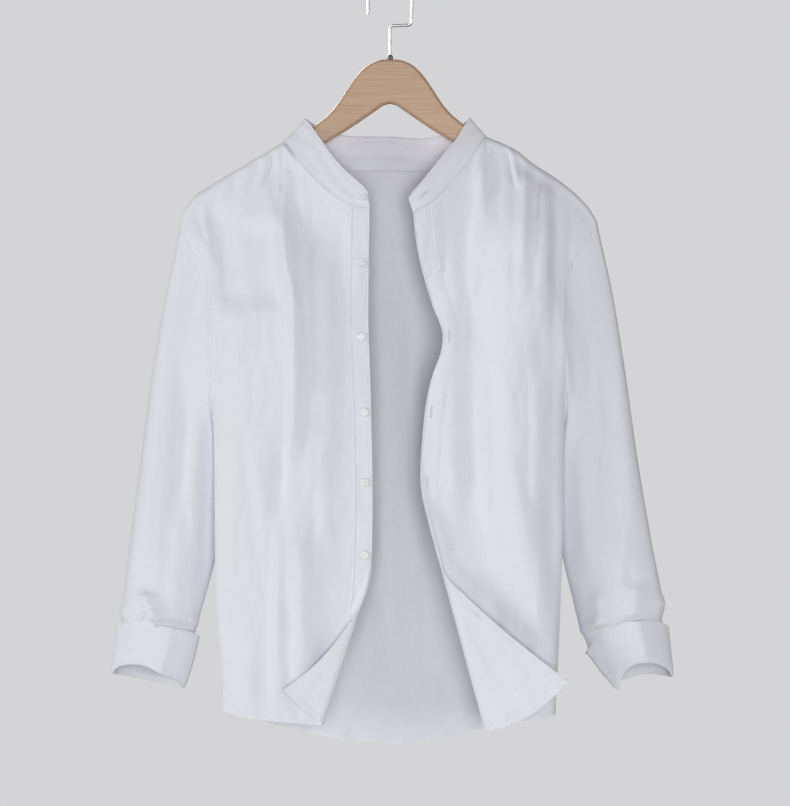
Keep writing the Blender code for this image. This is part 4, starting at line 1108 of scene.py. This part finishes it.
def build_arms():
    """Both sleeves, each with its cuff turned back over its end."""
    front = np.arccos(1 - 2 * finer(np.array([0, 0.02, 0.1, 0.5, 0.9, 0.98, 1.0]), 260, 3.6))
    angles = np.concatenate([front, (2 * math.pi - front)[-2:0:-1]])
    along = (1 - np.cos(angles)) / 2
    swell = np.maximum(np.sin(angles), 0)
    ats = finer(np.array([0, 0.045, 0.09, 0.6, 0.8, SLEEVE_END]), 560, 2.8)
    for name, arm, side, back_across in (
        ("right", RIGHT_ARM, RIGHT, 0.0),
        ("left", LEFT_ARM, LEFT, 1.0),
    ):
        facing = -1 if name == "right" else 1
        lies = CUFF_LIES[name]
        surface = partial(arm_surface, arm, side, back_across)
        edge = cuff_line(lies, "edge", angles)
        turn = cuff_line(lies, "turn", angles)
        angle, at = np.meshgrid(angles, ats)
        at = at + turn * ease((at - 0.9) / 0.068)
        points = surface(angle, at)
        down = lengths(points, 0)
        waves = pucker(lengths(points, 1), down - 2) * ease(down / 3)
        for place, height in TUCKS:
            tuck = height * bell(at - place, TUCK_WIDE)
            waves += tuck * (0.6 + 0.4 * np.sin(angle * 3.0 + 1.0))
        points = points + grid_normals(points, closed=True) * facing * waves[..., None]
        flat = inset(points, rows=(SEAM_GAP, 0))
        made = add_cloth(f"sleeve_{name}_cloth", flat, facing, LAYER, closed=True)[0]
        section = finer(np.arange(len(CUFF_SECTION["at"]), dtype=float), 6, 1)
        rows = read(dict(CUFF_SECTION, number=np.arange(8.0)), "number", section)
        from_turn = np.clip((0.99 - rows["at"]) / (0.99 - CUFF_SECTION["at"][0]), 0, 1)
        from_turn = np.where(section < 5, from_turn, 0)[:, None]
        at = rows["at"][:, None] + from_turn * edge + (1 - from_turn) * turn
        angle = angles + 0 * at
        normals = normals_of(surface, angle, at) * facing
        points = surface(angle, at) + normals * rows["out"][:, None, None]
        ways = (along / lies["bend"], (1 - along) / (1 - lies["bend"]))
        flat_sides = -np.log(sum(np.exp(-CUFF_CREASE * way) for way in ways)) / CUFF_CREASE
        points[..., 1] -= CUFF_FLATTENS * (flat_sides * 1.08 - swell) * ease(swell / 0.3)
        cuff, grid = add_cloth(f"cuff_{name}_cloth", points, facing, DOUBLE, closed=True)
        sew(line_at(grid, 2.0, 0), DOUBLE / 2)


def button_height(across, upright):
    """How high a button's face stands this far from its middle, with its four holes."""
    radius = np.hypot(across, upright)
    face = BUTTON_FACE + BUTTON_RIM * bell(radius - BUTTON_RADIUS * 0.84, 0.75)
    face = face * np.sqrt(np.clip(1 - (radius / BUTTON_RADIUS) ** 8, 0, 1))
    for side in (-1, 1):
        for end in (-1, 1):
            away = np.hypot(across - side * HOLE_PLACE, upright - end * HOLE_PLACE)
            face = face - HOLE_DEEP * ease((HOLE_RADIUS + 0.12 - away) / 0.3)
    return face


def build_button(name, node, centre, facing):
    """A turned button, sewn on through its four holes."""
    facing = unit(facing)
    aside = unit(np.cross(facing, (0, 0, 1)))
    upright = np.cross(facing, aside)
    turns = np.arange(BUTTON_SPOKES) * 2 * math.pi / BUTTON_SPOKES
    radii = BUTTON_RADIUS * np.linspace(0.02, 1, BUTTON_RINGS)[:, None] ** 0.8
    across = radii * np.cos(turns)
    up = radii * np.sin(turns)
    high = button_height(across, up)
    under = BUTTON_LIP * ease((radii / BUTTON_RADIUS - 0.75) / 0.25) + 0 * across
    across, up, high = (
        np.concatenate([face, back[::-1]])[..., None]
        for face, back in ((across, across * 0.985), (up, up * 0.985), (high, under))
    )
    vertices = (centre + aside * across + upright * up + facing * high).reshape(-1, 3)
    number = np.arange(len(vertices)).reshape(-1, BUTTON_SPOKES)
    beside = np.roll(number, -1, axis=1)
    quads = np.stack([number[:-1], number[1:], beside[1:], beside[:-1]], -1)
    faces = quads.reshape(-1, 4).tolist() + [number[0].tolist(), number[-1, ::-1].tolist()]
    made = add_piece(name, vertices, faces, BUTTON_FINISH, 60)
    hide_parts(node)
    for end in (-1, 1):
        for strand in (-0.25, 0.25):
            middle = centre + upright * (end * HOLE_PLACE + strand)
            points = middle + aside * HOLE_PLACE * np.array([[-1], [0], [1]])
            lay_stitches(points[None], facing + 0 * points[None], BUTTON_FACE + 0.1)


def normals_of(surface, first, second):
    """A surface's unit normals at places that needn't lie in order."""
    by_first = surface(first + NUDGE, second) - surface(first - NUDGE, second)
    by_second = surface(first, second + NUDGE) - surface(first, second - NUDGE)
    return unit(np.cross(by_first, by_second))


def place_on(surface, first, second):
    """A point of a surface, its unit normal, and the way down it."""
    one = np.full(1, float(first))
    two = np.full(1, float(second))
    way = surface(one, two + NUDGE) - surface(one, two - NUDGE)
    return surface(one, two)[0], normals_of(surface, one, two)[0], unit(way)[0]


def share_at_height(side, z):
    """How far down a front a height lies, near its front edge."""
    shares = np.linspace(0, 1, HEIGHT_SAMPLES)
    heights = front_surface(side, np.full(HEIGHT_SAMPLES, 0.96), shares, turned=False)[:, 2]
    order = np.argsort(heights)
    return float(np.interp(z, heights[order], shares[order]))


def build_fastenings():
    """The buttons down the right front and on the collar, and the left's buttonholes."""
    point, normal, way = place_on(band_surface, COLLAR_BUTTON_AT, COLLAR_BUTTON_RISE)
    above = 0.3
    build_button("button_1_sewn", "button_1", point - normal * (BAND_THICK / 2 + above), -normal)
    face = LAYER / 2 + STRIP_LIFT + DOUBLE
    heights = PLACKET_BUTTONS["z"]
    for side, places in ((RIGHT, heights), (LEFT, (*heights, heights[-1] - 85.0))):
        for number, height in enumerate(places, start=2):
            share = share_at_height(side, height)
            across = 1 - BUTTON_FROM_EDGE / (FULL_PLACE - section_start(share))
            point, normal, way = place_on(partial(front_surface, side), across, share)
            if side is RIGHT:
                middle = point - normal * (face + above)
                build_button(f"button_{number}_sewn", f"button_{number}", middle, -normal)
            else:
                buttonhole(point, way, normal, face)
                buttonhole(point, way, -normal, LAYER / 2)
    point, normal, way = place_on(band_surface, 1 - COLLAR_BUTTON_AT * 1.6, COLLAR_BUTTON_RISE)
    along = band_surface(np.array([0.99]), np.array([0.5]))[0] - point
    buttonhole(point, along, -normal, BAND_THICK / 2)


def linear(hex_colour):
    """An sRGB hex colour as linear light, with full cover."""
    parts = [int(hex_colour[place : place + 2], 16) / 255 for place in (1, 3, 5)]
    return (*[p / 12.92 if p <= 0.04045 else ((p + 0.055) / 1.055) ** 2.4 for p in parts], 1.0)


def add_node(tree, kind, settings=None, links=None):
    """A node with its settings, and with what is linked into it."""
    node = tree.nodes.new(kind)
    for name, value in (settings or {}).items():
        if isinstance(name, int) or name in node.inputs:
            node.inputs[name].default_value = value
        else:
            setattr(node, name, value)
    for name, source in (links or {}).items():
        tree.links.new(source, node.inputs[name])
    return node


def start_finish(name, **settings):
    """A new material with only its shader, and the shader's own numbers."""
    made = bpy.data.materials.new(name)
    made.use_nodes = True
    shader = made.node_tree.nodes["Principled BSDF"]
    for socket, value in settings.items():
        shader.inputs[socket.replace("_", " ")].default_value = value
    return made, made.node_tree, shader


def noise(tree, place=None, spread=(1.0, 1.0, 1.0), **settings):
    """The strength of a noise pattern, with places first stretched by so many to the metre."""
    links = {}
    if place is not None:
        stretched = add_node(tree, "ShaderNodeMapping", {"Scale": spread}, {"Vector": place})
        links = {"Vector": stretched.outputs[0]}
    node = add_node(tree, "ShaderNodeTexNoise", {"Scale": 1.0, **settings}, links)
    return node.outputs["Fac"]


def ranged(tree, value, low, high, to_low, to_high):
    """A value from one range carried over to another."""
    ends = {"From Min": low, "From Max": high, "To Min": to_low, "To Max": to_high}
    return add_node(tree, "ShaderNodeMapRange", ends, {"Value": value}).outputs[0]


def between(tree, share, low, high):
    """A colour between two hex colours, by a share."""
    ends = {"data_type": "RGBA", 6: linear(low), 7: linear(high)}
    return add_node(tree, "ShaderNodeMix", ends, {0: share}).outputs[2]


def bumped(tree, height, strength, distance, below=None):
    """The normal of a surface with small bumps, over those of the bumps below it."""
    links = {"Height": height} if below is None else {"Height": height, "Normal": below}
    settings = {"Strength": strength, "Distance": distance}
    return add_node(tree, "ShaderNodeBump", settings, links).outputs[0]


def bleached_linen():
    """Linen in a plain weave, washed and bleached: slubs along both threads, soft and matt."""
    made, tree, shader = start_finish("bleached_linen", Roughness=0.86, Sheen_Weight=0.12)
    shader.inputs["Sheen Roughness"].default_value = 0.45
    shader.inputs["Specular IOR Level"].default_value = 0.2
    uv = add_node(tree, "ShaderNodeUVMap", {"uv_map": "weave"}).outputs["UV"]
    # Threads are about 0.5 mm apart. The slubs are drawn 1.4 mm wide and 30 mm long, so that
    # they still show at the distance the shirt is seen from.
    down = noise(tree, uv, (1 / 0.0014, 1 / 0.030, 1.0), Detail=2.0)
    across = noise(tree, uv, (1 / 0.030, 1 / 0.0014, 1.0), Detail=2.0)
    both = add_node(tree, "ShaderNodeMath", {"operation": "ADD"}, {0: down, 1: across})
    weave = both.outputs[0]
    # Washing leaves soft crinkles, about 9 mm wide and longer down the cloth than across.
    size = (1 / 0.009, 1 / 0.022, 1.0)
    crinkle = noise(tree, uv, size, Detail=1.5, Roughness=0.5, Distortion=0.8)
    soft = bumped(tree, crinkle, 0.32, 0.0012)
    colour = between(tree, ranged(tree, weave, 0.6, 1.4, 0.0, 1.0), "#E6E6ED", "#ECECF3")
    tree.links.new(colour, shader.inputs["Base Color"])
    tree.links.new(bumped(tree, weave, 0.13, 0.0005, soft), shader.inputs["Normal"])
    return made


def cotton_thread():
    """White cotton sewing thread, spun and a little brighter than the cloth."""
    made, tree, shader = start_finish("cotton_thread", Roughness=0.7)
    colour = between(tree, noise(tree, Scale=900.0, Detail=1.0), "#E4E4EA", "#F4F4F8")
    tree.links.new(colour, shader.inputs["Base Color"])
    return made


def polyester_button():
    """Cast polyester, turned and tumbled: white, with a faint pearly cloud and a soft gloss."""
    made, tree, shader = start_finish("polyester_button", Roughness=0.28, IOR=1.55)
    cloud = noise(tree, Scale=260.0, Detail=2.0, Distortion=1.5)
    tree.links.new(between(tree, cloud, "#DCDCE2", "#F2F2F5"), shader.inputs["Base Color"])
    return made


def varnished_beech():
    """Beech, sawn to shape and varnished: fine brown grain along each arm under a satin coat."""
    made, tree, shader = start_finish("varnished_beech", Roughness=0.42, Coat_Weight=0.25)
    shader.inputs["Coat Roughness"].default_value = 0.25
    place = add_node(tree, "ShaderNodeTexCoord").outputs["Object"]
    # Growth lines 2 mm apart run the length of the wood, and its flecks are 0.8 mm wide.
    size = (11.0, 140.0, 420.0)
    grain = noise(tree, place, size, Detail=4.0, Roughness=0.6, Distortion=0.4)
    flecks = noise(tree, place, (160.0, 500.0, 1250.0), Detail=1.0)
    ramp = add_node(tree, "ShaderNodeValToRGB", None, {"Fac": grain})
    stops = ((0.32, "#B08A68"), (0.68, "#C3A080"))
    for stop, (position, colour) in zip(ramp.color_ramp.elements, stops):
        stop.position = position
        stop.color = linear(colour)
    dark = ranged(tree, flecks, 0.62, 0.75, 0.0, 0.22)
    ends = {"data_type": "RGBA", 7: linear("#9C7656")}
    colour = add_node(tree, "ShaderNodeMix", ends, {0: dark, 6: ramp.outputs[0]})
    tree.links.new(colour.outputs[2], shader.inputs["Base Color"])
    tree.links.new(bumped(tree, grain, 0.25, 0.0002), shader.inputs["Normal"])
    return made


def plated_wire():
    """Steel wire, drawn and nickel plated: bright, with faint lines from the drawing."""
    made, tree, shader = start_finish("nickel_plated_wire", Metallic=1.0)
    shader.inputs["Base Color"].default_value = linear("#C9C7C3")
    place = add_node(tree, "ShaderNodeTexCoord").outputs["Object"]
    lines = noise(tree, place, (900.0, 900.0, 40.0))
    tree.links.new(ranged(tree, lines, 0.3, 0.7, 0.16, 0.32), shader.inputs["Roughness"])
    return made


# The studio, in metres: each lamp's name, place, size and power, and what they are aimed at
LAMPS = (
    ("window", (-8.4, -2.7, 0.3), 3.0, 320.0),
    ("fill", (0.2, -4.2, -0.7), 2.0, 96.0),
    ("reflector", (5.0, -2.8, -0.2), 2.6, 46.0),
    ("behind", (-2.0, 4.6, 2.6), 2.6, 140.0),
)
LAMPS_AIM = (0.0, 0.0, -0.48)
CAMERA_PLACE = (0.0059, -3.02, -0.481)
CAMERA_AWAY = 3.0
PICTURE_WIDTH = 0.948
FLOOR_Z = -1.45
FLOOR_RADIUS = 1.2
FLOOR_SPOKES = 96


def add_floor():
    """A pale painted floor, far below."""
    floor = bpy.data.meshes.new("floor")
    turns = np.linspace(0, 2 * math.pi, FLOOR_SPOKES, endpoint=False)
    rim = stacked(FLOOR_RADIUS * np.cos(turns), FLOOR_RADIUS * np.sin(turns), FLOOR_Z)
    floor.from_pydata(rim.tolist(), [], [list(range(FLOOR_SPOKES))])
    paint, tree, shader = start_finish("pale_floor", Roughness=0.9)
    colour = between(tree, noise(tree, Scale=40.0), "#CFCFD1", "#D6D6D8")
    tree.links.new(colour, shader.inputs["Base Color"])
    floor.materials.append(paint)
    laid = bpy.data.objects.new("floor", floor)
    bpy.context.scene.collection.objects.link(laid)


def studio():
    """An even pale background, soft light from the upper left, and the camera straight on."""
    scene = bpy.context.scene
    scene.view_settings.view_transform = "Standard"
    world = bpy.data.worlds.new("studio")
    world.use_nodes = True
    sky = world.node_tree
    seen = sky.nodes["Background"]
    seen.inputs["Color"].default_value = linear("#D4D4D6")
    soft = {"Color": linear("#D4D4D8"), "Strength": 0.17}
    around = add_node(sky, "ShaderNodeBackground", soft)
    rays = add_node(sky, "ShaderNodeLightPath").outputs["Is Camera Ray"]
    both = add_node(sky, "ShaderNodeMixShader", None, {0: rays, 1: around.outputs[0]})
    sky.links.new(seen.outputs[0], both.inputs[2])
    sky.links.new(both.outputs[0], sky.nodes["World Output"].inputs["Surface"])
    scene.world = world
    for name, place, size, power in LAMPS:
        light = bpy.data.lights.new(name, "AREA")
        light.size = size
        light.energy = power
        lamp = bpy.data.objects.new(name, light)
        lamp.location = place
        aim = np.array(LAMPS_AIM) - np.array(place)
        lamp.rotation_euler = Vector(aim).to_track_quat("-Z", "Y").to_euler()
        scene.collection.objects.link(lamp)
    lens = bpy.data.cameras.new("camera")
    lens.sensor_width = 36.0
    lens.lens = lens.sensor_width * CAMERA_AWAY / PICTURE_WIDTH
    camera = bpy.data.objects.new("camera", lens)
    camera.location = CAMERA_PLACE
    camera.rotation_euler = (math.radians(90), 0, 0)
    scene.collection.objects.link(camera)
    scene.camera = camera


RIGHT["top"] = neck_columns(RIGHT)
LEFT["top"] = neck_columns(LEFT)
BACK_TOP = back_top()

LINEN = bleached_linen()
THREAD_FINISH = cotton_thread()
BUTTON_FINISH = polyester_button()
BEECH = varnished_beech()
WIRE_FINISH = plated_wire()

studio()
add_floor()
build_fronts()
build_back()
build_collar()
build_arms()
build_fastenings()
add_stitching()
for node, finish in (
    ("hanger_wood", BEECH),
    ("hanger_hook", WIRE_FINISH),
    ("hook_ferrule", WIRE_FINISH),
):
    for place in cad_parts[node].material_slots:
        place.material = finish
